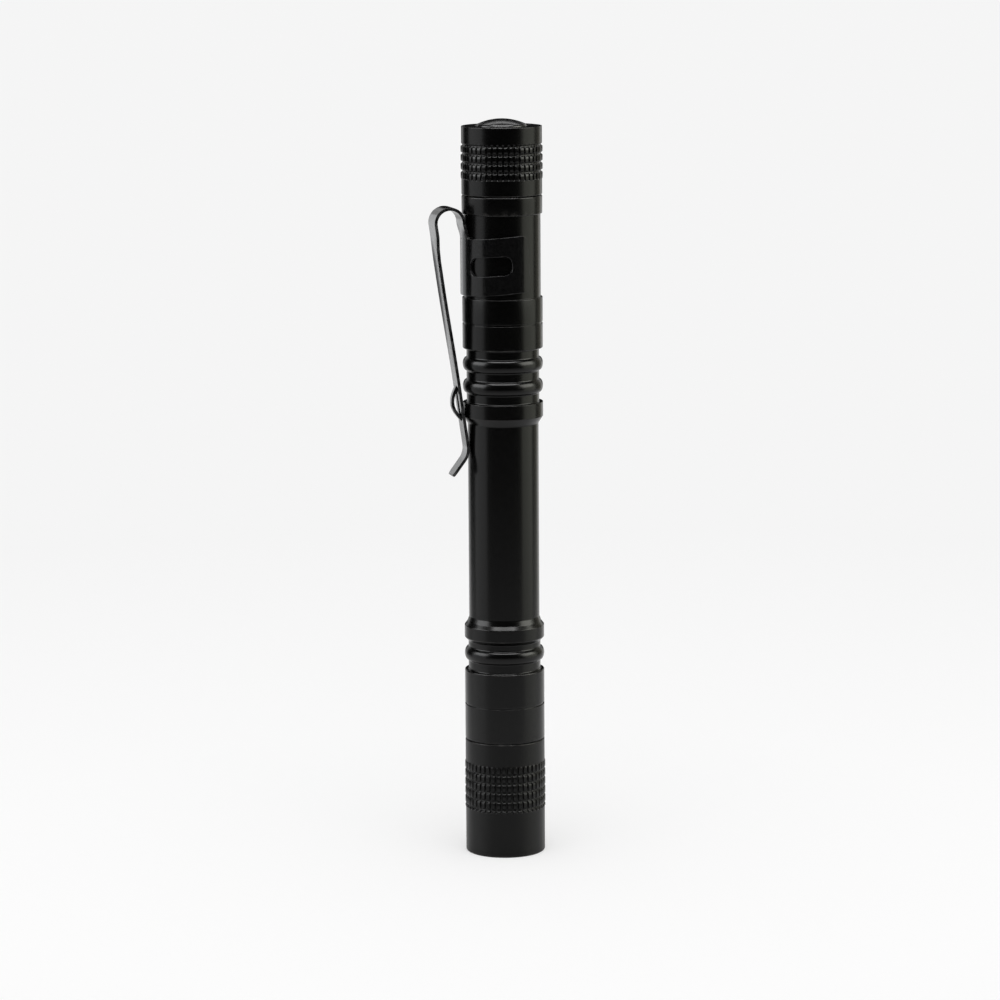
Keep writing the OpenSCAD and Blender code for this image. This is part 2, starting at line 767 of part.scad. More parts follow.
module tail_cap() {
    knurl_len = tail_knurl_rows * knurl_pitch;
    color("#17181b")
        difference() {
            rotate_extrude()
                polygon([
                    [0, cap_end_z], [body_r - joint_edge, cap_end_z], [body_r, cap_end_z + joint_edge],
                    [body_r, tail_knurl_z], [knurl_r, tail_knurl_z],
                    [knurl_r, tail_knurl_z + knurl_len], [body_r, tail_knurl_z + knurl_len],
                    [body_r, rim_z - rim_edge], [body_r - rim_edge, rim_z], [0, rim_z]
                ]);
            translate([0, 0, tail_knurl_z])
                knurl_cuts(tail_knurl_rows);
            bore(thread_bore_r, cap_end_z - overrun, retainer_z - cap_end_z + overrun);
            bore(pocket_r, cap_end_z, web_z - cap_end_z);
            bore(button_hole_r, cap_end_z, rim_z);
            translate([0, 0, rim_z - hole_edge])
                cylinder(r1 = button_hole_r, r2 = button_hole_r + hole_edge + overrun,
                    h = hole_edge + overrun);
        }
}

module retaining_ring() {
    color("#b08d4a")
        difference() {
            ring(retainer_bore_r, switch_part_r, retainer_z, retainer_h);
            both_sides((retainer_bore_r + switch_part_r) / 2)
                bore(spanner_d / 2, retainer_z - overrun, retainer_h + 2 * overrun);
        }
}

module tail_spring() {
    color("#c9c5b8")
        translate([0, 0, switch_z - tail_wire / 2])
            mirror([0, 0, 1])
                coil(tail_spring_base_r, tail_spring_tip_r, tail_spring_len - tail_wire - spring_gap,
                    tail_turns, tail_wire);
}

// Square switch pins through the board, with room round them
module pins(room, z, h) {
    both_sides(pin_at)
        translate([-pin_w / 2 - room, -pin_w / 2 - room, z])
            cube([pin_w + 2 * room, pin_w + 2 * room, h]);
}

module switch_board() {
    color("#1f6b45")
        difference() {
            bore(switch_part_r, switch_z, switch_board_h);
            pins(pin_clear, switch_z - overrun, switch_board_h + 2 * overrun);
        }
}

module switch_pins() {
    color("#d8c27a")
        pins(0, switch_z - pin_reach, switch_board_h + pin_reach);
}

module switch_case() {
    color("#26272a")
        difference() {
            intersection() {
                translate([-switch_w / 2, -switch_w / 2, case_z])
                    cube([switch_w, switch_w, switch_h]);
                bore(switch_corner_r, case_z, switch_h);
            }
            bore(switch_bore_r, case_z + switch_floor, switch_h);
        }
}

module switch_spring() {
    floor_z = case_z + switch_floor;
    color("#c9c5b8")
        translate([0, 0, floor_z + switch_wire / 2])
            coil(switch_spring_r, switch_spring_r, spring_roof_z - floor_z - switch_wire, switch_turns,
                switch_wire);
}

module switch_plunger() {
    color("#b9b4a6")
        difference() {
            bore(plunger_r, plunger_foot_z, plunger_top_z - plunger_foot_z);
            bore(plunger_bore_r, plunger_foot_z - overrun, spring_roof_z - plunger_foot_z + overrun);
        }
}

module boot_spacer() {
    color("#3a3a3a")
        ring(spacer_bore_r, switch_part_r, case_z, flange_z - case_z);
}

module boot_flange() {
    color("#202022")
        ring(flange_bore_r, switch_part_r, flange_z, flange_h);
}

// Spherical dome over the crown's straight edge
dome_sphere_r = (pow(crown_r, 2) + pow(dome_rise, 2)) / (2 * dome_rise);

module boot_crown() {
    color("#202022")
        union() {
            rotate_extrude()
                polygon(concat(
                    [[crown_bore_r, crown_foot_z], [crown_r, crown_foot_z]],
                    [for (i = [0 : curve_steps])
                        let (r = crown_r * (1 - i / curve_steps))
                            [r, crown_z - dome_sphere_r + sqrt(pow(dome_sphere_r, 2) - pow(r, 2))]],
                    [[0, crown_roof_z], [crown_bore_r, crown_roof_z - dome_rise]]
                ));
            bore(plunger_r, plunger_top_z, crown_roof_z - plunger_top_z + crown_wall / 2);
        }
}

// Steps of a bent sheet: each holds a point at mid sheet and the unit vector out of the sheet
function bend_steps(centre, r, from, to, outwards) = [
    for (i = [0 : curve_steps])
        let (a = from + (to - from) * i / curve_steps, n = [cos(a), sin(a)])
            [centre + outwards * r * n, n]
];

// Closed outline of a bent sheet
function sheet_outline(steps, thick) = concat(
    [for (s = steps) s[0] + thick / 2 * s[1]],
    reversed([for (s = steps) s[0] - thick / 2 * s[1]])
);

// Sheet that follows an outline in the plane y = 0
module bent_sheet(steps, thick, width) {
    rotate([90, 0, 0])
        linear_extrude(width, center = true)
            polygon(sheet_outline(steps, thick));
}

// Rounded corner to cut off a band's end, in the plane of the sheet
module corner_cut() {
    difference() {
        translate([-overrun, -overrun])
            square(clip_corner + overrun);
        translate([clip_corner, clip_corner])
            circle(r = clip_corner);
    }
}

// Window with round ends
module window() {
    straight = window_len - window_h;
    square([straight, window_h], center = true);
    for (side = [-1, 1])
        translate([side * straight / 2, 0])
            circle(d = window_h);
}

// Sets a flat shape upright on the band, at an angle from the root, facing outwards
module on_band(angle, z) {
    rotate([0, 0, 180 + angle])
        translate([0, 0, z])
            rotate([90, 0, 90])
                linear_extrude(clip_r + clip_sheet + overrun)
                    children();
}

// Rise of the band's leaning edges at an angle from the root
function lean_rise(angle) = clip_mid_r * (1 - cos(angle)) * tan(clip_lean);

module clip_band() {
    reach = 2 * (clip_r + clip_sheet);
    color("#15161a")
        union() {
            difference() {
                intersection() {
                    rotate([0, 0, 180 - clip_wrap])
                        rotate_extrude(angle = 2 * clip_wrap)
                            translate([clip_r, clip_band_z - overrun])
                                square([clip_sheet, clip_band_h + reach * tan(clip_lean) + overrun]);
                    translate([-clip_mid_r, 0, clip_band_z])
                        rotate([0, -clip_lean, 0])
                            translate([-reach, -reach, 0])
                                cube([2 * reach, 2 * reach, clip_band_h]);
                }
                for (side = [-1, 1]) {
                    on_band(side * window_angle, clip_band_z + window_at + lean_rise(window_angle))
                        window();
                    on_band(side * clip_wrap, clip_band_z + lean_rise(clip_wrap))
                        mirror([side > 0 ? 1 : 0, 0])
                            corner_cut();
                    on_band(side * clip_wrap, clip_band_top_z + lean_rise(clip_wrap))
                        mirror([side > 0 ? 1 : 0, 0])
                            mirror([0, 1])
                                corner_cut();
                }
            }
            bent_sheet(concat(
                [[[-clip_mid_r, clip_band_top_z - root_embed], [1, 0]]],
                bend_steps(loop_c, loop_r, 0, 90 - split_angle, 1)
            ), clip_sheet, strip_w);
        }
}

// Plan of the strip seen from outside: tapered, with a rounded tip
module strip_plan() {
    foot = tip[1] - clip_sheet;
    half = tip_w / 2;
    top = loop_c[1] + loop_r + clip_sheet;
    rotate([90, 0, 90])
        translate([0, 0, loop_c[0] - loop_r - bridge_rise - clip_sheet])
            linear_extrude(2 * (loop_r + bridge_rise + clip_sheet) + clip_mid_r)
                polygon(concat(
                    [[strip_w / 2, top], [strip_w / 2, loop_c[1]]],
                    [for (i = [0 : curve_steps])
                        let (a = 90 * i / curve_steps)
                            [half - tip_corner * (1 - cos(a)), foot + tip_corner * (1 - sin(a))]],
                    [for (i = [curve_steps : -1 : 0])
                        let (a = 90 * i / curve_steps)
                            [-half + tip_corner * (1 - cos(a)), foot + tip_corner * (1 - sin(a))]],
                    [[-strip_w / 2, loop_c[1]], [-strip_w / 2, top]]
                ));
}

// Bridge lanced out of the arm, as steps from its foot to its head
bridge_r = (pow(bridge_len / 2, 2) + pow(bridge_rise, 2)) / (2 * bridge_rise);
bridge_half_angle = asin(bridge_len / 2 / bridge_r);
bridge_mid = arm_rest - bridge_at * arm_way;
bridge_c = bridge_mid - (bridge_r - bridge_rise) * arm_out;
arm_out_angle = 180 + arm_slope;

module clip_arm() {
    color("#15161a")
        union() {
            difference() {
                intersection() {
                    bent_sheet(concat(
                        bend_steps(loop_c, loop_r, 90 + split_angle, arm_out_angle, 1),
                        bend_steps(bend_c, bend_r, arm_out_angle, 180 - flare_angle, -1),
                        [[tip, [-cos(flare_angle), sin(flare_angle)]]]
                    ), clip_sheet, strip_w);
                    strip_plan();
                }
                bent_sheet([
                    [bridge_mid - bridge_len / 2 * arm_way, arm_out],
                    [bridge_mid + bridge_len / 2 * arm_way, arm_out]
                ], clip_sheet + 2 * overrun, bridge_w);
            }
            bent_sheet(bend_steps(bridge_c, bridge_r, arm_out_angle - bridge_half_angle,
                arm_out_angle + bridge_half_angle, 1), bridge_sheet, bridge_w);
        }
}

body_tube();
head_shell();
lens_gasket();
lens();
reflector();
head_oring();
led_ring();
led_dome();
led_package();
led_board();
pill();
led_leads();
driver_board();
driver_parts();
contact_spring();
front_cell();
rear_cell();
tail_oring();
tail_cap();
retaining_ring();
tail_spring();
switch_board();
switch_pins();
switch_case();
switch_spring();
boot_spacer();
boot_flange();
boot_crown();
switch_plunger();
clip_band();
clip_arm();
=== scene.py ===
"""Looks of a slim black penlight: its fine shapes and finishes, and the studio round it.

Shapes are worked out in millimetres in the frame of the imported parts, where z runs from the bezel's rim
up to the tail button and the pocket clip is at -x. They are put into the meshes in metres.
"""

import logging
import math
from collections.abc import Sequence
from dataclasses import dataclass, replace
from enum import Enum

import bpy
import numpy as np
from mathutils import Matrix, Vector


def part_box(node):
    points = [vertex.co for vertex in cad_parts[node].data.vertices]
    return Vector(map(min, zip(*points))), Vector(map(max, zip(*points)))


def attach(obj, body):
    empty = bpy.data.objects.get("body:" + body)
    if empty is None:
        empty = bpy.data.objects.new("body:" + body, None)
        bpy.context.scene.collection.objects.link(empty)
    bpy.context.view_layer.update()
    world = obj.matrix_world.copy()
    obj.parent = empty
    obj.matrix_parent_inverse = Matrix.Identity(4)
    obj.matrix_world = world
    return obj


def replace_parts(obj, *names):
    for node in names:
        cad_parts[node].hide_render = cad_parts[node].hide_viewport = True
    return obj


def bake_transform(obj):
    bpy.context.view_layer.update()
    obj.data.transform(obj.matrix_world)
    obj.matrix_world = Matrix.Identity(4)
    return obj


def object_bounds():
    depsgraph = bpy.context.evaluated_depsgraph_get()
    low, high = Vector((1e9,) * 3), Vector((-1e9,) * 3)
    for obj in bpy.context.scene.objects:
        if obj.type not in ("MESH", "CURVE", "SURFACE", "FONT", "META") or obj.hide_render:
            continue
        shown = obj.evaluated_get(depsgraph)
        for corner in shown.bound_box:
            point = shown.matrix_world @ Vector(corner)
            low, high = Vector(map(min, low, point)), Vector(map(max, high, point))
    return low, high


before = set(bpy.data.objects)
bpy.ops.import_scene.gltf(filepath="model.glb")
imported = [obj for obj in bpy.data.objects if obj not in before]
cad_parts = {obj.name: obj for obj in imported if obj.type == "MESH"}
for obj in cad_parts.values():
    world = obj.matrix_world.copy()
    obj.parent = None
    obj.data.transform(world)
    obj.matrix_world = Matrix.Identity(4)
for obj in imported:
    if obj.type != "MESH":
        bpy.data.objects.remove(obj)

LOG = logging.getLogger("penlight")
CAD_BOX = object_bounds()

# Metres in a millimetre
MM = 0.001
# A whole turn in radians, and a quarter turn in degrees
TURN = 2 * math.pi
QUARTER_DEG = 90.0
# Points nearer to each other than this, in millimetres, are one point
MERGE_REACH = 1e-4
# Takes a point to its place beside the z axis, at no height
LEVEL = np.array([1.0, 1.0, 0.0])
# Digits that the heights of a knurl's rows are rounded to
ROW_DIGITS = 6
# Points on the arc that rounds a corner, and the gap to the hold point beside it
ARC_POINTS = 5
HOLD_GAP = 0.03
# An arc takes at most this share of the shorter side next to it
ARC_SHARE = 0.45
# Edges that turn by more than this many degrees are shaded sharp
SHARP_DEG = 42.0
# Stations round a plain turned piece
ROUND_STATIONS = 192
# Name of the mesh attribute that is 1 at edges that wear
EDGE_MASK = "edge"
# Sockets of a colour Mix node
MIX_A = 6
MIX_B = 7
MIX_OUT = 2
# Shares that rise and fall over a range
RISING = (0.0, 1.0)
FALLING = (1.0, 0.0)
# Range that most of the grain's values lie in
GRAIN_RANGE = (0.3, 0.7)
DUST_COLOUR = (0.5, 0.49, 0.46)
# A lamp's power in watts over its radiance and its area
LAMP_POWER = 4.0

Span = tuple[float, float]
Colour = tuple[float, float, float]
Corner = tuple[float, float, float]
Socket = bpy.types.NodeSocket
Feeds = dict[str | int, object]


def smoothstep(share: np.ndarray) -> np.ndarray:
    """Eases a share from 0 to 1: three of its squares less two of its cubes, held between both ends."""
    held = np.clip(share, 0.0, 1.0)
    return held * held * (3.0 - 2.0 * held)


def all_round(count: int) -> np.ndarray:
    """Gives even angles round a whole turn."""
    return np.linspace(0.0, TURN, count, endpoint=False)


def circle(turn: np.ndarray) -> np.ndarray:
    """Gives the points of a unit circle: the cosine and the sine of each angle."""
    return np.column_stack([np.cos(turn), np.sin(turn)])


def stretch(*stops: float, counts: Sequence[int]) -> np.ndarray:
    """Even stations between stops.

    Args:
        stops: Values in rising order.
        counts: Steps between each stop and the next.

    Returns:
        The stations, with each stop once.
    """
    spans = zip(stops, stops[1:], counts)
    runs = [np.linspace(low, high, count, endpoint=False) for low, high, count in spans]
    return np.concatenate([*runs, stops[-1:]])


def direction(bearing_deg: float, height_deg: float) -> Vector:
    """Gives a unit direction from the object.

    Args:
        bearing_deg: Bearing from -y towards +x.
        height_deg: Angle over the level.

    Returns:
        The direction.
    """
    bearing, height = math.radians(bearing_deg), math.radians(height_deg)
    level = math.cos(height)
    return Vector((math.sin(bearing) * level, -math.cos(bearing) * level, math.sin(height)))


def opaque(colour: Colour) -> tuple[float, float, float, float]:
    """Gives a colour its fourth value, full cover."""
    return (*colour, 1.0)


@dataclass
class Surface:
    """Points in millimetres, the quads between them, and how far each point is an edge that wears.

    A quad that names a point twice running stands for a triangle.
    """

    points: np.ndarray
    quads: np.ndarray
    edge: np.ndarray

    @classmethod
    def grid(cls, points: np.ndarray, edge: np.ndarray, wrap_rows: bool, wrap_columns: bool) -> "Surface":
        """Joins each point of a grid to the next one in its row and in its column.

        Args:
            points: Rows by columns by three.
            edge: Wear of the points, of a shape that spreads over rows by columns.
            wrap_rows: Whether the last row joins the first.
            wrap_columns: Whether the last column joins the first.

        Returns:
            The surface over the grid.
        """
        rows, columns = points.shape[:2]
        index = np.arange(rows * columns).reshape(rows, columns)
        index = np.vstack([index, index[:1]]) if wrap_rows else index
        index = np.hstack([index, index[:, :1]]) if wrap_columns else index
        quads = np.stack([index[:-1, :-1], index[:-1, 1:], index[1:, 1:], index[1:, :-1]], axis=-1)
        wear = np.broadcast_to(edge, (rows, columns))
        return cls(points.reshape(-1, 3), quads.reshape(-1, 4), wear.reshape(-1))

    @classmethod
    def joined(cls, parts: Sequence["Surface"]) -> "Surface":
        """Puts several surfaces into one, each with its quads counted on from the points before it."""
        starts = np.cumsum([0, *(len(part.points) for part in parts[:-1])])
        return cls(
            np.concatenate([part.points for part in parts]),
            np.concatenate([part.quads + start for part, start in zip(parts, starts)]),
            np.concatenate([part.edge for part in parts]),
        )

    def merged(self) -> "Surface":
        """Makes points that coincide one point, which closes seams and poles.

        Returns:
            The surface with each point once.
        """
        cells = np.round(self.points / MERGE_REACH)
        _, first, into = np.unique(cells, axis=0, return_index=True, return_inverse=True)
        return Surface(self.points[first], into.reshape(-1)[self.quads], self.edge[first])

    def crossed(self) -> np.ndarray:
        """Gives each quad's normal times twice its area: the cross product of its two diagonals."""
        corner = self.points[self.quads]
        return np.cross(corner[:, 2] - corner[:, 0], corner[:, 3] - corner[:, 1])

    def flipped(self) -> "Surface":
        """Turns every face round by naming its points in the opposite order."""
        return Surface(self.points, self.quads[:, ::-1], self.edge)

    def outward(self) -> "Surface":
        """Points the faces of a closed surface outwards, by making the volume that they enclose positive."""
        middle = self.points[self.quads].mean(axis=1)
        return self if np.sum(middle * self.crossed()) > 0 else self.flipped()

    def facing(self, outer: np.ndarray) -> "Surface":
        """Points the faces of an open sheet to the side that the given directions at its points show."""
        return self if np.sum(outer[self.quads[:, 0]] * self.crossed()) > 0 else self.flipped()

    def normals(self) -> np.ndarray:
        """Gives each point the unit sum of the normals of the quads round it.

        Returns:
            The normals.
        """
        total = np.zeros_like(self.points)
        np.add.at(total, self.quads, self.crossed()[:, None, :])
        return total / np.linalg.norm(total, axis=1, keepdims=True)

    def thickened(self, thickness: float) -> "Surface":
        """Makes a sheet of this middle surface.

        Each point moves out and in along its normal by half the thickness, and a wall of quads follows every
        side that only one quad has.

        Args:
            thickness: Thickness of the sheet.

        Returns:
            The closed sheet.
        """
        count = len(self.points)
        offset = self.normals() * thickness / 2
        start, end = self.quads, np.roll(self.quads, -1, axis=1)
        key = np.minimum(start, end) * count + np.maximum(start, end)
        _, into, uses = np.unique(key, return_inverse=True, return_counts=True)
        rim = (uses[into.reshape(key.shape)] == 1) & (start != end)
        first, second = start[rim], end[rim]
        wall = np.stack([second, first, first + count, second + count], axis=1)
        points = np.concatenate([self.points + offset, self.points - offset])
        quads = np.concatenate([self.quads, self.quads[:, ::-1] + count, wall])
        return Surface(points, quads, np.tile(self.edge, 2))

    def mesh(self, name: str) -> bpy.types.Mesh:
        """Puts the surface into a new smooth mesh, with its wear as an attribute.

        Args:
            name: The mesh's name.

        Returns:
            The mesh, in metres.
        """
        again = self.quads == np.roll(self.quads, -1, axis=1)
        repeats = again.sum(axis=1)
        triangles = self.quads[repeats == 1][~again[repeats == 1]].reshape(-1, 3)
        faces = self.quads[repeats == 0].tolist() + triangles.tolist()
        mesh = bpy.data.meshes.new(name)
        mesh.from_pydata((self.points * MM).tolist(), [], faces)
        mask = mesh.attributes.new(EDGE_MASK, "FLOAT", "POINT")
        mask.data.foreach_set("value", self.edge.astype(np.float32))
        mesh.shade_smooth()
        mesh.set_sharp_from_angle(angle=math.radians(SHARP_DEG))
        return mesh


@dataclass
class Section:
    """The section of a turned piece: radius and height of each point of a closed loop, and its wear."""

    line: np.ndarray
    edge: np.ndarray

    @classmethod
    def smooth(cls, *lines: Sequence) -> "Section":
        """Puts lines of points into one loop as they are, with no edge that wears."""
        line = np.concatenate(lines)
        return cls(line, np.zeros(len(line)))

    @classmethod
    def rounded(cls, corners: Sequence[Corner]) -> "Section":
        """Follows a loop of corners, each an arc.

        An arc begins and ends at its radius times the tangent of half the turn from the corner. Its points
        are the first one turned about the arc's centre by even shares of the whole turn. A hold point on
        either side keeps the straight stretch flat in shading. Arcs that stand out from the piece wear.

        Args:
            corners: Radius, height and rounding of each corner, anticlockwise with the radius to the right.

        Returns:
            The section.
        """
        table = np.array(corners)
        place, rounding = table[:, :2], table[:, 2]
        before = place - np.roll(place, 1, axis=0)
        after = np.roll(place, -1, axis=0) - place
        before_len = np.linalg.norm(before, axis=1)
        after_len = np.linalg.norm(after, axis=1)
        way_in = before / before_len[:, None]
        way_out = after / after_len[:, None]
        turn = np.arctan2(
            way_in[:, 0] * way_out[:, 1] - way_in[:, 1] * way_out[:, 0], np.sum(way_in * way_out, axis=1)
        )
        slack = np.tan(np.maximum(np.abs(turn), MERGE_REACH) / 2)
        room = ARC_SHARE * np.minimum(before_len, after_len)
        reach = np.minimum(rounding * slack, room)
        spoke = (reach / slack * np.sign(turn))[:, None] * np.stack([way_in[:, 1], -way_in[:, 0]], axis=1)
        start = place - way_in * reach[:, None]
        swing = turn[:, None] * np.linspace(0.0, 1.0, ARC_POINTS)
        turned_spoke = np.stack(
            [
                spoke[:, :1] * np.cos(swing) - spoke[:, 1:] * np.sin(swing),
                spoke[:, :1] * np.sin(swing) + spoke[:, 1:] * np.cos(swing),
            ],
            axis=-1,
        )
        arc = (start - spoke)[:, None, :] + turned_spoke
        hold = np.where(rounding > 0, np.minimum(reach + HOLD_GAP, room), reach)[:, None]
        line = np.concatenate(
            [(place - way_in * hold)[:, None], arc, (place + way_out * hold)[:, None]], axis=1
        ).reshape(-1, 2)
        on_arc = np.array([0.0, *[1.0] * ARC_POINTS, 0.0])
        proud = ((turn > 0) & (rounding > 0)).astype(float)[:, None] * on_arc
        apart = np.linalg.norm(line - np.roll(line, 1, axis=0), axis=1) > MERGE_REACH
        return cls(line[apart], proud.reshape(-1)[apart])

    def with_rows(self, rows: np.ndarray, wall_r: float) -> tuple["Section", slice]:
        """Adds points to the straight wall that spans the given heights.

        Args:
            rows: Heights in rising order.
            wall_r: Radius of the wall.

        Returns:
            The new section, and where the rows are in it.
        """
        after = np.roll(self.line, -1, axis=0)
        on_wall = np.isclose(self.line[:, 0], wall_r) & np.isclose(after[:, 0], wall_r)
        spans = (self.line[:, 1] <= rows[0]) & (after[:, 1] >= rows[-1])
        at = int(np.flatnonzero(on_wall & spans)[0]) + 1
        line = np.insert(self.line, at, np.column_stack([np.full(len(rows), wall_r), rows]), axis=0)
        return Section(line, np.insert(self.edge, at, np.zeros(len(rows)))), slice(at, at + len(rows))

    def turned(self, angle: np.ndarray | None = None, radius: np.ndarray | None = None,
               edge: np.ndarray | None = None) -> Surface:
        """Carries the section round the z axis: x is radius times cosine, y is radius times sine.

        Args:
            angle: Stations round the axis, even ones if left out.
            radius: Radius at each point and station where it changes round the axis.
            edge: Wear at each point and station where it changes round the axis.

        Returns:
            The closed surface, facing outwards.
        """
        if angle is None:
            angle = all_round(ROUND_STATIONS)
        reach = self.line[:, :1] if radius is None else radius
        height = np.broadcast_to(self.line[:, 1:], (len(self.line), len(angle)))
        points = np.stack([reach * np.cos(angle), reach * np.sin(angle), height], axis=-1)
        wear = self.edge[:, None] if edge is None else edge
        return Surface.grid(points, wear, wrap_rows=True, wrap_columns=True).merged().outward()


def wire_along(path: np.ndarray, radius: float, sides: int = 12) -> Surface:
    """Carries a circle along a path and closes both ends at their middle.

    The circle lies across the path's direction: one of its axes points away from the z axis, less its share
    along the path, and the other is square to both.

    Args:
        path: Points of the wire's middle line.
        radius: Radius of the wire.
        sides: Points round the wire.

    Returns:
        The closed surface.
    """
    way = np.gradient(path, axis=0)
    way /= np.linalg.norm(way, axis=1, keepdims=True)
    out = path * LEVEL
    out -= way * np.sum(out * way, axis=1, keepdims=True)
    out /= np.linalg.norm(out, axis=1, keepdims=True)
    across = np.cross(way, out)
    turn = all_round(sides)[:, None]
    rings = path[:, None] + radius * (np.cos(turn) * out[:, None] + np.sin(turn) * across[:, None])
    ends = np.repeat(path[[0, -1], None], sides, axis=1)
    points = np.concatenate([ends[:1], rings, ends[1:]])
    return Surface.grid(points, np.zeros(1), wrap_rows=False, wrap_columns=True).merged().outward()


class Effect(Enum):
    """Effects that several finishes share, each a shader node group."""

    GRAIN = "fine_grain"
    TURNING = "turning_marks"
    # Edge wear, which on the clip is partly a painted highlight along its edges
    WEAR = "edge_wear"
    DUST = "dust_specks"


class NodeSheet:
    """A node tree with short calls that add a node and feed its sockets."""

    def __init__(self, tree: bpy.types.NodeTree) -> None:
        """Keeps the tree to work in."""
        self.tree = tree

    def feed(self, node: bpy.types.Node, feeds: Feeds) -> None:
        """Links outputs to a node's sockets, or sets the sockets' own values.

        Args:
            node: The node to feed.
            feeds: An output or a plain value for each name or number of an input.
        """
        for socket, value in feeds.items():
            if isinstance(value, Socket):
                self.tree.links.new(value, node.inputs[socket])
            else:
                node.inputs[socket].default_value = value

    def add(self, kind: str, feeds: Feeds | None = None, **settings: object) -> bpy.types.Node:
        """Adds a node.

        Args:
            kind: Blender's name of the node type.
            feeds: What goes into its inputs.
            settings: Values of its own properties.

        Returns:
            The node.
        """
        node = self.tree.nodes.new(kind)
        for name, value in settings.items():
            setattr(node, name, value)
        self.feed(node, feeds or {})
        return node

    def place(self) -> Socket:
        """Gives the piece's own coordinates."""
        return self.add("ShaderNodeTexCoord").outputs["Object"]

    def mask(self) -> Socket:
        """Gives the mesh's own mask of its edges."""
        return self.add("ShaderNodeAttribute", attribute_name=EDGE_MASK).outputs["Fac"]

    def noise(self, scale: object, layers: object) -> Socket:
        """Gives noise over the piece's own coordinates, with some finer layers."""
        feeds = {"Vector": self.place(), "Scale": scale, "Detail": layers}
        return self.add("ShaderNodeTexNoise", feeds).outputs["Fac"]

    def worked(self, operation: str, *values: object) -> Socket:
        """Works out a sum, product or the like of numbers, by Blender's name of it."""
        return self.add("ShaderNodeMath", dict(enumerate(values)), operation=operation).outputs["Value"]

    def measured(self, operation: str, *values: object) -> Socket:
        """Works out the length of a vector or the dot product of two, by Blender's name of it."""
        return self.add("ShaderNodeVectorMath", dict(enumerate(values)), operation=operation).outputs["Value"]

    def effect(self, effect: Effect, **values: float) -> Socket:
        """Places a shared effect.

        Args:
            effect: Which one.
            values: Its inputs by name.

        Returns:
            The effect's output.
        """
        feeds = {name.capitalize(): value for name, value in values.items()}
        return self.add("ShaderNodeGroup", feeds, node_tree=EffectShelf.tree(effect)).outputs[0]

    def mixed(self, share: Socket, low: object, high: object) -> Socket:
        """Mixes two colours.

        Args:
            share: How far the mix goes to the second.
            low: The first colour or the output that gives it.
            high: The second colour or the output that gives it.

        Returns:
            The mixed colour.
        """
        low, high = (opaque(value) if isinstance(value, tuple) else value for value in (low, high))
        feeds = {0: share, MIX_A: low, MIX_B: high}
        return self.add("ShaderNodeMix", feeds, data_type="RGBA").outputs[MIX_OUT]

    def layered(self, share: Socket, low: Socket, high: Socket) -> Socket:
        """Mixes two shaders, by how far the mix goes to the second."""
        return self.add("ShaderNodeMixShader", {0: share, 1: low, 2: high}).outputs[0]

    def spread(self, value: Socket, source: Span, target: tuple[object, object]) -> Socket:
        """Maps a value from one range to another and holds it there.

        Args:
            value: The output to map.
            source: Range that it comes from.
            target: Range that it goes to.

        Returns:
            The mapped value.
        """
        names = ("From Min", "From Max", "To Min", "To Max")
        node = self.add("ShaderNodeMapRange", {"Value": value, **dict(zip(names, (*source, *target)))})
        return node.outputs["Result"]


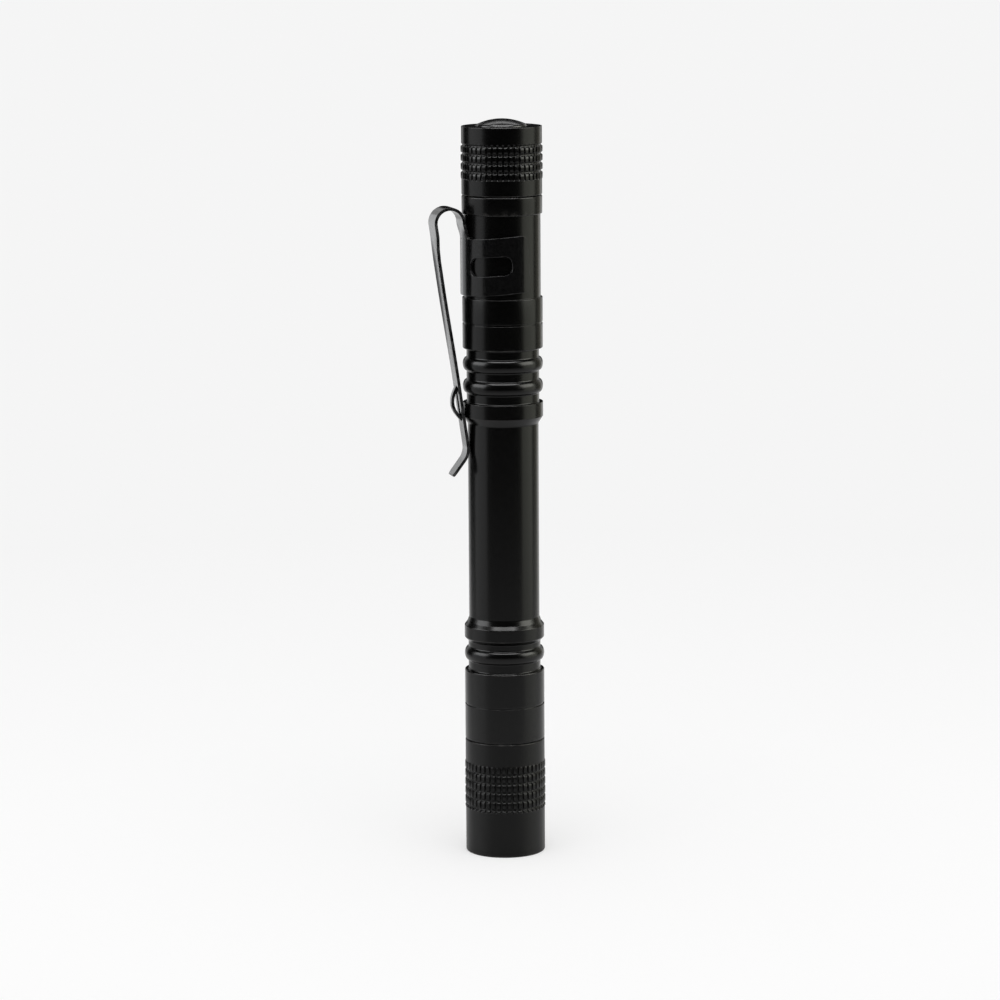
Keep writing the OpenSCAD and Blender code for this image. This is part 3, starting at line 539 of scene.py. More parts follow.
class EffectShelf:
    """Builds each shared effect's node group once and hands it out."""

    # Finer layers in the noise of lathe marks, worn edges and dust
    ring_layers = 2.0
    wear_layers = 4.0
    dust_layers = 1.0
    # Values over which noise goes over to full wear and to full dust
    wear_range = (0.42, 0.68)
    dust_range = (0.68, 0.78)

    @classmethod
    def tree(cls, effect: Effect) -> bpy.types.NodeTree:
        """Gives the node group of an effect, built at its first use."""
        makers = {
            Effect.GRAIN: cls.grain,
            Effect.TURNING: cls.turning,
            Effect.WEAR: cls.wear,
            Effect.DUST: cls.dust,
        }
        return bpy.data.node_groups.get(effect.value) or makers[effect](effect)

    @staticmethod
    def opened(effect: Effect, **inputs: float) -> tuple[NodeSheet, bpy.types.NodeOutputs]:
        """Starts a group.

        Args:
            effect: The effect it holds.
            inputs: Its inputs with their usual values.

        Returns:
            The sheet to work on, and the outputs that give the inputs.
        """
        sheet = NodeSheet(bpy.data.node_groups.new(effect.value, "ShaderNodeTree"))
        for name, value in inputs.items():
            socket = sheet.tree.interface.new_socket(name, in_out="INPUT", socket_type="NodeSocketFloat")
            socket.default_value = value
        return sheet, sheet.add("NodeGroupInput").outputs

    @staticmethod
    def closed(sheet: NodeSheet, name: str, value: Socket) -> bpy.types.NodeTree:
        """Ends a group.

        Args:
            sheet: The sheet with the group's nodes.
            name: Name of its output.
            value: What it puts out.

        Returns:
            The group.
        """
        sheet.tree.interface.new_socket(name, in_out="OUTPUT", socket_type="NodeSocketFloat")
        sheet.add("NodeGroupOutput", {name: value})
        return sheet.tree

    @classmethod
    def grain(cls, effect: Effect) -> bpy.types.NodeTree:
        """Makes fine grain: noise with a few finer layers."""
        sheet, given = cls.opened(effect, Scale=3000.0, Layers=3.0)
        return cls.closed(sheet, "Grain", sheet.noise(given["Scale"], given["Layers"]))

    @classmethod
    def turning(cls, effect: Effect) -> bpy.types.NodeTree:
        """Makes lathe marks: noise along one line, the height plus the distance from the z axis.

        Args:
            effect: The effect that names the group.

        Returns:
            The group.
        """
        sheet, given = cls.opened(effect, Scale=6000.0)
        part = sheet.add("ShaderNodeSeparateXYZ", {"Vector": sheet.place()}).outputs
        level = sheet.add("ShaderNodeCombineXYZ", {"X": part["X"], "Y": part["Y"]}).outputs["Vector"]
        along = sheet.worked("ADD", part["Z"], sheet.measured("LENGTH", level))
        feeds = {"W": along, "Scale": given["Scale"], "Detail": cls.ring_layers}
        marks = sheet.add("ShaderNodeTexNoise", feeds, noise_dimensions="1D")
        return cls.closed(sheet, "Height", marks.outputs["Fac"])

    @classmethod
    def wear(cls, effect: Effect) -> bpy.types.NodeTree:
        """Makes worn edges, which on the clip are partly a painted highlight: the mesh's own edge mask,
        broken up by noise.

        Args:
            effect: The effect that names the group.

        Returns:
            The group.
        """
        sheet, given = cls.opened(effect, Scale=900.0, Amount=0.5)
        broken = sheet.worked("MULTIPLY", sheet.mask(), sheet.noise(given["Scale"], cls.wear_layers))
        return cls.closed(sheet, "Mask", sheet.spread(broken, cls.wear_range, (0.0, given["Amount"])))

    @classmethod
    def dust(cls, effect: Effect) -> bpy.types.NodeTree:
        """Makes dust: the highest spots of a fine noise.

        Args:
            effect: The effect that names the group.

        Returns:
            The group.
        """
        sheet, given = cls.opened(effect, Scale=2500.0, Amount=0.1)
        spots = sheet.noise(given["Scale"], cls.dust_layers)
        return cls.closed(sheet, "Mask", sheet.spread(spots, cls.dust_range, (0.0, given["Amount"])))


@dataclass(frozen=True)
class Finish:
    """A surface finish: two colours that its grain mixes, its gloss, and the fine marks it carries.

    Its slot is the record's name for it. Scales are in spots per metre and depths in metres, as the shader
    takes them.
    """

    slot: str
    colour: Colour
    shade: Colour
    roughness: Span = (0.4, 0.5)
    metallic: float = 0.0
    specular: float = 0.5
    grain: float = 3000.0
    grain_depth: float = 4e-6
    rings: float = 0.0
    ring_depth: float = 3e-6
    wear: float = 0.0
    bare: Colour = (0.3, 0.3, 0.3)
    dust: float = 0.0
    coat: float = 0.0

    def material(self) -> bpy.types.Material:
        """Gives the material of this finish, made at its first use."""
        return bpy.data.materials.get(self.name) or self.made()

    @property
    def name(self) -> str:
        """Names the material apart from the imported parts' own material of the same slot."""
        return self.slot + "_finish"

    def made(self) -> bpy.types.Material:
        """Makes the material: grain in the colour, roughness and bump, and then what its kind adds.

        Returns:
            The material.
        """
        material = bpy.data.materials.new(self.name)
        material.use_nodes = True
        material.diffuse_color = opaque(self.colour)
        sheet = NodeSheet(material.node_tree)
        shader = material.node_tree.nodes["Principled BSDF"]
        grain = sheet.effect(Effect.GRAIN, scale=self.grain)
        sheet.feed(shader, {
            "Metallic": self.metallic,
            "Specular IOR Level": self.specular,
            "Coat Weight": self.coat,
            "Base Color": self.coloured(sheet, grain),
            "Roughness": sheet.spread(grain, GRAIN_RANGE, self.roughness),
            "Normal": self.bumped(sheet, grain),
        })
        self.extra(sheet, shader)
        return material

    def coloured(self, sheet: NodeSheet, grain: Socket) -> Socket:
        """Mixes the two colours by the grain, then lays worn edges and dust over them; on the clip the worn
        edges are partly a painted highlight.

        Args:
            sheet: The material's nodes.
            grain: The grain's value.

        Returns:
            The colour.
        """
        colour = sheet.mixed(sheet.spread(grain, GRAIN_RANGE, RISING), self.colour, self.shade)
        if self.wear:
            colour = sheet.mixed(sheet.effect(Effect.WEAR, amount=self.wear), colour, self.bare)
        if self.dust:
            colour = sheet.mixed(sheet.effect(Effect.DUST, amount=self.dust), colour, DUST_COLOUR)
        return colour

    def bumped(self, sheet: NodeSheet, grain: Socket) -> Socket:
        """Raises the surface by its grain and, on a turned piece, by its lathe marks.

        Args:
            sheet: The material's nodes.
            grain: The grain's value.

        Returns:
            The normal.
        """
        marks = [(grain, self.grain_depth)]
        if self.rings:
            marks.append((sheet.effect(Effect.TURNING, scale=self.rings), self.ring_depth))
        feeds = {"Strength": 1.0}
        for height, depth in marks:
            bump = sheet.add("ShaderNodeBump", {**feeds, "Distance": depth, "Height": height})
            feeds["Normal"] = bump.outputs["Normal"]
        return feeds["Normal"]

    def overlaid(self, sheet: NodeSheet, shader: bpy.types.Node, share: Socket) -> None:
        """Lays the bare colour over the shader's colour by a share."""
        colour = shader.inputs["Base Color"].links[0].from_socket
        sheet.feed(shader, {"Base Color": sheet.mixed(share, colour, self.bare)})

    def extra(self, sheet: NodeSheet, shader: bpy.types.Node) -> None:
        """Adds nothing more: finishes of a special kind do."""


@dataclass(frozen=True)
class ClearFinish(Finish):
    """Glass or clear silicone: light passes through it."""

    ior: float = 1.5

    def extra(self, sheet: NodeSheet, shader: bpy.types.Node) -> None:
        """Lets all light through."""
        sheet.feed(shader, {"Transmission Weight": 1.0, "IOR": self.ior})


@dataclass(frozen=True)
class CellFinish(Finish):
    """A printed cell jacket between bare steel ends: the ends are where the mesh's edge mask is 1."""

    def extra(self, sheet: NodeSheet, shader: bpy.types.Node) -> None:
        """Turns the ends to metal.

        Args:
            sheet: The material's nodes.
            shader: Its main shader.
        """
        ends = sheet.mask()
        sheet.feed(shader, {"Metallic": ends})
        self.overlaid(sheet, shader, ends)


@dataclass(frozen=True)
class EmitterFinish(Finish):
    """White ceramic with a yellow square in its middle, whose edge fades over a share of its half width."""

    half_width: float = 0.0011
    fade: float = 0.05

    def extra(self, sheet: NodeSheet, shader: bpy.types.Node) -> None:
        """Colours the square: the greater of both distances from the axis is within its half width.

        Args:
            sheet: The material's nodes.
            shader: Its main shader.
        """
        size = sheet.add("ShaderNodeVectorMath", {0: sheet.place()}, operation="ABSOLUTE").outputs["Vector"]
        part = sheet.add("ShaderNodeSeparateXYZ", {"Vector": size}).outputs
        far = sheet.worked("MAXIMUM", part["X"], part["Y"])
        edge = (self.half_width, self.half_width * (1.0 + self.fade))
        self.overlaid(sheet, shader, sheet.spread(far, edge, FALLING))


class Finishes:
    """The finishes of the penlight's pieces, named for the record's material slots."""

    tube = Finish("tube_anodised", (0.0004, 0.0004, 0.0004), (0.0009, 0.0009, 0.0008), (0.21, 0.27),
                  specular=0.21, grain=5200.0, grain_depth=1.6e-6, rings=5200.0, ring_depth=1.5e-6,
                  wear=0.3, bare=(0.05, 0.048, 0.045))
    cap = replace(tube, slot="cap_anodised", grain_depth=1.8e-6, rings=5000.0, wear=0.35)
    head = replace(cap, slot="head_anodised", colour=(0.0005, 0.0005, 0.0005), shade=(0.001, 0.001, 0.0009),
                   roughness=(0.31, 0.39), specular=0.18, rings=4800.0)
    # The clip's bare colour on its bevels is partly wear and partly a painted highlight along its edges
    clip = Finish("clip_steel", (0.0015, 0.0015, 0.0016), (0.003, 0.003, 0.0031), (0.16, 0.24),
                  specular=0.2, grain=2600.0, grain_depth=1.5e-6, wear=0.12, bare=(0.2, 0.2, 0.205), coat=0.1)
    seal = Finish("seal_rubber", (0.012, 0.012, 0.012), (0.02, 0.02, 0.021), (0.5, 0.65),
                  specular=0.35, grain=9000.0, grain_depth=5e-6, dust=0.08)
    boot = Finish("boot_rubber", (0.004, 0.004, 0.0043), (0.007, 0.007, 0.0075), (0.18, 0.25),
                  specular=0.3, grain=7000.0, grain_depth=6e-6, dust=0.06)
    glass = ClearFinish("lens_glass", (0.98, 0.99, 0.985), (1.0, 1.0, 1.0), (0.0, 0.02),
                        grain=900.0, grain_depth=1e-7)
    chrome = Finish("reflector_chrome", (0.86, 0.87, 0.88), (0.93, 0.93, 0.93), (0.05, 0.12),
                    metallic=1.0, grain=2200.0, grain_depth=6e-6)
    plastic = Finish("white_plastic", (0.78, 0.78, 0.75), (0.84, 0.84, 0.82), (0.38, 0.5), grain=6000.0)
    silicone = ClearFinish("emitter_silicone", (1.0, 0.98, 0.9), (1.0, 0.99, 0.95), (0.02, 0.06),
                           grain=2500.0, grain_depth=5e-7, ior=1.41)
    ceramic = EmitterFinish("emitter_ceramic", (0.8, 0.8, 0.78), (0.86, 0.86, 0.85), (0.35, 0.5),
                            grain=9000.0, bare=(0.85, 0.62, 0.08))
    board = Finish("board_aluminium", (0.78, 0.78, 0.77), (0.88, 0.88, 0.87), (0.3, 0.45),
                   grain=7000.0, coat=0.2)
    brass = Finish("pill_brass", (0.62, 0.42, 0.16), (0.74, 0.53, 0.22), (0.2, 0.34),
                   metallic=1.0, grain=4500.0, rings=5200.0, ring_depth=4e-6)
    lead = Finish("lead_insulation", (0.5, 0.02, 0.015), (0.58, 0.03, 0.02), (0.4, 0.52), grain=8000.0)
    circuit = Finish("circuit_board", (0.006, 0.09, 0.03), (0.012, 0.14, 0.05), (0.28, 0.4),
                     grain=5000.0, coat=0.3)
    component = Finish("black_component", (0.012, 0.012, 0.013), (0.024, 0.024, 0.025), (0.42, 0.6),
                       grain=11000.0)
    wire = Finish("spring_wire", (0.62, 0.6, 0.56), (0.72, 0.71, 0.68), (0.18, 0.3),
                  metallic=1.0, grain=6000.0)
    pin = Finish("pin_brass", (0.7, 0.5, 0.22), (0.8, 0.6, 0.28), (0.2, 0.32), metallic=1.0, grain=9000.0)
    cell = CellFinish("cell_jacket", (0.05, 0.12, 0.3), (0.06, 0.15, 0.36), (0.25, 0.35),
                      grain=1500.0, grain_depth=1e-6, bare=(0.7, 0.69, 0.66), coat=0.3)


@dataclass(frozen=True)
class NodeBox:
    """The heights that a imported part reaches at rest, and its reach along x, in millimetres."""

    low: float
    high: float
    radius: float

    @classmethod
    def of(cls, node: str) -> "NodeBox":
        """Reads the box of a part by its node's name."""
        low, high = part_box(node)
        return cls(low.z / MM, high.z / MM, high.x / MM)


def add_piece(name: str, surface: Surface, finish: Finish, *nodes: str) -> bpy.types.Object:
    """Adds a finished piece at the origin, with its place in its mesh.

    Args:
        name: Name of the piece.
        surface: Its shape.
        finish: Its finish.
        nodes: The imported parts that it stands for.

    Returns:
        The piece.
    """
    mesh = surface.mesh(name)
    mesh.materials.append(finish.material())
    piece = bpy.data.objects.new(name, mesh)
    bpy.context.scene.collection.objects.link(piece)
    LOG.info("%s: %d points in %s", name, len(mesh.vertices), finish.slot)
    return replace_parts(piece, *nodes)


def dress_node(node: str, finish: Finish) -> None:
    """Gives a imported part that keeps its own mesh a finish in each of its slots.

    Args:
        node: Name of the part's node.
        finish: The finish.
    """
    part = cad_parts[node]
    for slot in part.material_slots:
        slot.material = finish.material()
    LOG.info("%s: packed mesh in %s", node, finish.slot)


@dataclass(frozen=True)
class Knurl:
    """Rows of square teeth round a barrel, cut by slots along it and grooves round it."""

    teeth: int = 45
    pitch: float = 1.53
    groove: float = 0.4
    slot: float = 0.3
    tip_r: float = 7.2
    floor_r: float = 6.92
    soft: float = 0.26
    slot_soft: float = 0.14
    ramp_points: int = 4

    def ramp(self, soft: float) -> np.ndarray:
        """Gives the stations across a tooth's wall of the given width, from its foot to its tip."""
        return np.linspace(-0.5, 0.5, self.ramp_points) * soft

    def angles(self) -> np.ndarray:
        """Gives stations round the barrel: the middle of each slot and tooth and the walls between them.

        Returns:
            The angles.
        """
        share = TURN / self.teeth
        wall = (self.slot / 2 + self.ramp(self.slot_soft)) / self.tip_r
        tooth = np.concatenate([[0.0], wall, [share / 2], share - wall[::-1]])
        return (np.arange(self.teeth)[:, None] * share + tooth).reshape(-1)

    def rows(self, foot: float, end: float, middles: np.ndarray) -> np.ndarray:
        """Gives heights along the knurl.

        Args:
            foot: Height of its plain end.
            end: Height of its other end.
            middles: Heights of the grooves' middles.

        Returns:
            Heights of the middle of each groove and tooth row, of the walls between them and of a hold row
            past either end, rising.
        """
        half, ramp = self.groove / 2, self.ramp(self.soft)
        walls = (middles[:, None] + np.concatenate([ramp - half, [0.0], ramp + half])).reshape(-1)
        teeth = middles - math.copysign(self.pitch / 2, end - foot)
        hold = math.copysign(self.soft / 2 + HOLD_GAP, end - foot)
        ends = np.concatenate([foot + ramp, end + ramp, [foot - hold, end + hold]])
        return np.unique(np.round(np.concatenate([walls, teeth, ends]), ROW_DIGITS))

    def relief(self, angle: np.ndarray, height: np.ndarray, middles: np.ndarray) -> np.ndarray:
        """Works out how far the surface stands up to the tooth tips.

        It is the eased distance past the nearest slot's wall times the eased distance past the nearest
        groove's.

        Args:
            angle: Stations round the barrel.
            height: Heights along it.
            middles: Heights of the grooves' middles.

        Returns:
            Shares from 0 at the floor to 1 at the tips, heights by stations.
        """
        turn = angle * self.teeth / TURN
        from_slot = np.abs(turn - np.round(turn)) * TURN / self.teeth * self.tip_r
        from_groove = np.abs(height[:, None] - middles).min(axis=1)
        past_slot = smoothstep((from_slot - self.slot / 2) / self.slot_soft + 0.5)
        past_groove = smoothstep((from_groove - self.groove / 2) / self.soft + 0.5)
        return past_groove[:, None] * past_slot

    def cut(self, section: Section, wall_r: float, foot: float, end: float) -> Surface:
        """Turns a section with this knurl in its outer wall.

        Wear is four times the relief times what it lacks of 1, so it is full half way up a tooth's wall.

        Args:
            section: The section of the plain piece.
            wall_r: Radius of the wall.
            foot: Height of the knurl's plain end.
            end: Height of its other end. Each whole row on the way there has its groove at its far side.

        Returns:
            The knurled piece.
        """
        way = math.copysign(1.0, end - foot)
        count = math.floor(abs(end - foot) / self.pitch + MERGE_REACH)
        middles = foot + way * (np.arange(1, count + 1) * self.pitch - self.groove / 2)
        angle = self.angles()
        longer, at = section.with_rows(self.rows(foot, end, middles), wall_r)
        height = longer.line[at, 1]
        inside = np.minimum((height - foot) * way, (end - height) * way)
        inside = smoothstep(inside / self.soft + 0.5)[:, None]
        relief = self.relief(angle, height, middles)
        radius = np.repeat(longer.line[:, :1], len(angle), axis=1)
        radius[at] += inside * (self.floor_r + (self.tip_r - self.floor_r) * relief - wall_r)
        edge = np.repeat(longer.edge[:, None], len(angle), axis=1)
        edge[at] = 4.0 * relief * (1.0 - relief) * inside
        return longer.turned(angle, radius, edge)


@dataclass
class BodyTube:
    """The turned body tube: threaded necks, collar, beads, flanges, plain grip and the clip's recess."""

    body_r: float = 7.1
    bore_r: float = 5.35
    neck_r: float = 6.25
    neck_edge: float = 0.2
    waist_r: float = 6.43
    grip_r: float = 6.28
    recess_r: float = 6.78
    seal_floor_r: float = 5.75
    line_depth: float = 0.17
    line_width: float = 0.35
    edge: float = 0.2
    inner_edge: float = 0.08
    line_edge: float = 0.04
    flare_edge: float = 0.6
    shoulder_z: float = 20.75
    front_seal_z: float = 19.35
    seal_width: float = 0.9
    collar_line_z: float = 27.0
    collar_top_z: float = 33.35
    front_bead: Span = (35.03, 37.42)
    flange_foot_z: float = 38.5
    flange_z: float = 39.2
    flange_top_z: float = 41.35
    flange_flare: Span = (6.58, 42.05)
    grip_z: Span = (42.9, 77.75)
    rear_flange_z: Span = (79.0, 81.55)
    rear_beads: tuple[Span, ...] = ((83.2, 85.6), (87.15, 89.55))
    band_z: float = 91.12
    band_line_z: float = 95.5
    recess_z: Span = (100.2, 114.9)
    tail_joint_z: float = 118.1
    tail_seal_z: float = 118.6
    thread_pitch: float = 0.75
    thread_depth: float = 0.3
    thread_fade: float = 0.35
    thread_rows: int = 8
    front_thread_z: Span = (15.65, 18.75)
    tail_thread_z: Span = (119.85, 121.65)
    bead_span_deg: Span = (34.0, 146.0)
    bead_points: int = 9
    bead_foot: float = 0.3

    def groove(self, low: float, width: float, wall_r: float, floor_r: float) -> list[Corner]:
        """Gives the four corners of a square groove in a wall, going up."""
        places = ((wall_r, low), (floor_r, low), (floor_r, low + width), (wall_r, low + width))
        return [(*place, self.line_edge) for place in places]

    def line(self, low: float) -> list[Corner]:
        """Gives the corners of a fine line turned into the body's wall."""
        return self.groove(low, self.line_width, self.body_r, self.body_r - self.line_depth)

    def bead(self, low: float, high: float) -> list[Corner]:
        """Gives the corners of a bead: part of an ellipse that stands up from the waist to the body's radius.

        Args:
            low: Height of its foot.
            high: Height of its top.

        Returns:
            The corners, going up.
        """
        angle = np.radians(np.linspace(*self.bead_span_deg, self.bead_points))
        radius = self.waist_r + (self.body_r - self.waist_r) * np.sin(angle)
        height = low + (high - low) * (1.0 - np.cos(angle)) / 2
        crest = np.column_stack([radius, height, np.zeros_like(angle)]).tolist()
        foot, top = ((self.waist_r, end, self.bead_foot) for end in (low, high))
        return [foot, *map(tuple, crest), top]

    def corners(self, neck_z: float, end_z: float) -> list[Corner]:
        """Gives the section's corners.

        Args:
            neck_z: Height of the front neck's end.
            end_z: Height of the tail neck's end.

        Returns:
            The corners, up the outside and back down the bore.
        """
        edge, inner, flare = self.edge, self.inner_edge, self.flare_edge
        return [
            (self.bore_r, neck_z, inner), (self.neck_r, neck_z, self.neck_edge),
            *self.groove(self.front_seal_z, self.seal_width, self.neck_r, self.seal_floor_r),
            (self.neck_r, self.shoulder_z, inner), (self.body_r, self.shoulder_z, edge),
            *self.line(self.collar_line_z),
            (self.body_r, self.collar_top_z, edge), (self.waist_r, self.collar_top_z, edge),
            *self.bead(*self.front_bead),
            (self.waist_r, self.flange_foot_z, edge), (self.body_r, self.flange_z, edge),
            (self.body_r, self.flange_top_z, edge), (*self.flange_flare, flare),
            (self.grip_r, self.grip_z[0], flare), (self.grip_r, self.grip_z[1], flare),
            (self.body_r, self.rear_flange_z[0], edge),
            (self.body_r, self.rear_flange_z[1], inner), (self.waist_r, self.rear_flange_z[1], edge),
            *[corner for span in self.rear_beads for corner in self.bead(*span)],
            (self.waist_r, self.band_z, edge), (self.body_r, self.band_z, edge),
            *self.line(self.band_line_z),
            (self.body_r, self.recess_z[0], edge), (self.recess_r, self.recess_z[0], inner),
            (self.recess_r, self.recess_z[1], inner), (self.body_r, self.recess_z[1], edge),
            (self.body_r, self.tail_joint_z, edge), (self.neck_r, self.tail_joint_z, inner),
            *self.groove(self.tail_seal_z, self.seal_width, self.neck_r, self.seal_floor_r),
            (self.neck_r, end_z, self.neck_edge), (self.bore_r, end_z, inner),
        ]

    def thread(self, radius: np.ndarray, height: np.ndarray, angle: np.ndarray, span: Span) -> np.ndarray:
        """Cuts a screw thread into a wall.

        The depth falls and rises in a straight line over each turn of height less angle, and fades out at
        both ends of the thread.

        Args:
            radius: Radius of the wall.
            height: Heights along the thread.
            angle: Stations round it.
            span: Heights of its ends.

        Returns:
            The radius at each height and station.
        """
        turns = height[:, None] / self.thread_pitch - angle / TURN
        valley = 1.0 - np.abs(2.0 * (turns - np.floor(turns)) - 1.0)
        fade = smoothstep(np.minimum(height - span[0], span[1] - height) / self.thread_fade)[:, None]
        return radius - self.thread_depth * valley * fade

    def build(self) -> list[bpy.types.Object]:
        """Builds the tube in place of its node.

        Returns:
            The tube.
        """
        box = NodeBox.of("body_tube")
        section = Section.rounded(self.corners(box.low, box.high))
        angle = all_round(ROUND_STATIONS)
        spans = (self.front_thread_z, self.tail_thread_z)
        slices = []
        for low, high in spans:
            turns = (high - low) / self.thread_pitch
            rows = np.linspace(low, high, int(turns * self.thread_rows) + 1)
            section, at = section.with_rows(rows, self.neck_r)
            slices.append(at)
        radius = np.repeat(section.line[:, :1], len(angle), axis=1)
        for span, at in zip(spans, slices):
            radius[at] = self.thread(radius[at], section.line[at, 1], angle, span)
        tube = add_piece("tube", section.turned(angle, radius), Finishes.tube, "body_tube")
        return [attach(tube, "tube")]


@dataclass
class SealRings:
    """The two rubber rings in the necks' grooves."""

    mid_r: float = 6.05
    section_r: float = 0.27
    points: int = 20

    def build(self) -> list[bpy.types.Object]:
        """Builds each ring in the middle of its node, as a circle carried round the axis.

        Returns:
            The rings.
        """
        rings = []
        for node, body in (("head_oring", "head_seal"), ("tail_oring", "tail_seal")):
            box = NodeBox.of(node)
            middle = np.array([self.mid_r, (box.low + box.high) / 2])
            section = Section.smooth(middle + self.section_r * circle(all_round(self.points)))
            ring = add_piece(node.replace("oring", "seal_ring"), section.turned(), Finishes.seal, node)
            rings.append(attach(ring, body))
        return rings


@dataclass
class Head:
    """The head: knurled shell, lens with its gasket, and reflector."""

    knurl: Knurl = Knurl(pitch=1.6)
    wall_r: float = 7.1
    bezel_edge: float = 0.35
    edge: float = 0.2
    inner_edge: float = 0.06
    aperture_r: float = 5.3
    flare: float = 0.4
    seat_z: float = 1.0
    bore_r: float = 6.1
    thread_bore_r: float = 6.35
    thread_bore_z: float = 14.9
    knurl_z: Span = (16.5, 8.15)
    lens_edge: float = 0.2
    gasket_soft: float = 0.25
    bowl_mouth_r: float = 5.35
    bowl_hole_r: float = 2.0
    bowl_wall: float = 0.5
    bowl_rim: float = 0.8
    bowl_points: int = 40

    def shell(self) -> bpy.types.Object:
        """Builds the shell with its rows of teeth, each with its groove below it.

        Returns:
            The shell.
        """
        box = NodeBox.of("head_shell")
        edge, inner = self.edge, self.inner_edge
        section = Section.rounded([
            (self.aperture_r + self.flare, box.low, edge), (self.wall_r, box.low, self.bezel_edge),
            (self.wall_r, box.high, edge), (self.thread_bore_r, box.high, inner),
            (self.thread_bore_r, self.thread_bore_z, inner), (self.bore_r, self.thread_bore_z, inner),
            (self.bore_r, self.seat_z, inner), (self.aperture_r, self.seat_z, inner),
            (self.aperture_r, box.low + self.flare, inner),
        ])
        surface = self.knurl.cut(section, self.wall_r, *self.knurl_z)
        return add_piece("head_barrel", surface, Finishes.head, "head_shell")

    def lens(self) -> bpy.types.Object:
        """Builds the lens: a disc with ground edges.

        Returns:
            The lens.
        """
        box, edge = NodeBox.of("lens"), self.lens_edge
        section = Section.rounded([
            (0.0, box.low, 0.0), (box.radius, box.low, edge),
            (box.radius, box.high, edge), (0.0, box.high, 0.0),
        ])
        return add_piece("front_lens", section.turned(), Finishes.glass, "lens")

    def gasket(self) -> bpy.types.Object:
        """Builds the gasket: a flat ring whose edges are soft by a share of its thickness.

        Returns:
            The gasket.
        """
        box = NodeBox.of("lens_gasket")
        soft = (box.high - box.low) * self.gasket_soft
        section = Section.rounded([
            (self.aperture_r, box.low, soft), (box.radius, box.low, soft),
            (box.radius, box.high, soft), (self.aperture_r, box.high, soft),
        ])
        return add_piece("front_gasket", section.turned(), Finishes.seal, "lens_gasket")

    def bowl(self, share: np.ndarray) -> np.ndarray:
        """Gives the bowl's radius, whose square falls evenly from its mouth to its hole."""
        return np.sqrt(self.bowl_mouth_r**2 + (self.bowl_hole_r**2 - self.bowl_mouth_r**2) * share)

    def reflector(self) -> bpy.types.Object:
        """Builds the reflector: a bowl with an even wall behind it and a flat rim round its mouth.

        Returns:
            The reflector.
        """
        box = NodeBox.of("reflector")
        depth, rim_z = box.high - box.low, box.low + self.bowl_rim
        share = np.linspace(0.0, 1.0, self.bowl_points)
        behind = share[share * depth > self.bowl_rim][::-1]
        wall_r = self.bowl(behind) + self.bowl_wall
        section = Section.smooth(
            np.column_stack([wall_r, box.low + depth * behind]),
            [[wall_r[-1], rim_z], [box.radius, rim_z], [box.radius, box.low]],
            np.column_stack([self.bowl(share), box.low + depth * share]),
        )
        return add_piece("bowl_reflector", section.turned(), Finishes.chrome, "reflector")

    def build(self) -> list[bpy.types.Object]:
        """Builds the head's pieces, which all ride on the head.

        Returns:
            The pieces.
        """
        pieces = (self.shell(), self.lens(), self.gasket(), self.reflector())
        return [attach(piece, "head") for piece in pieces]


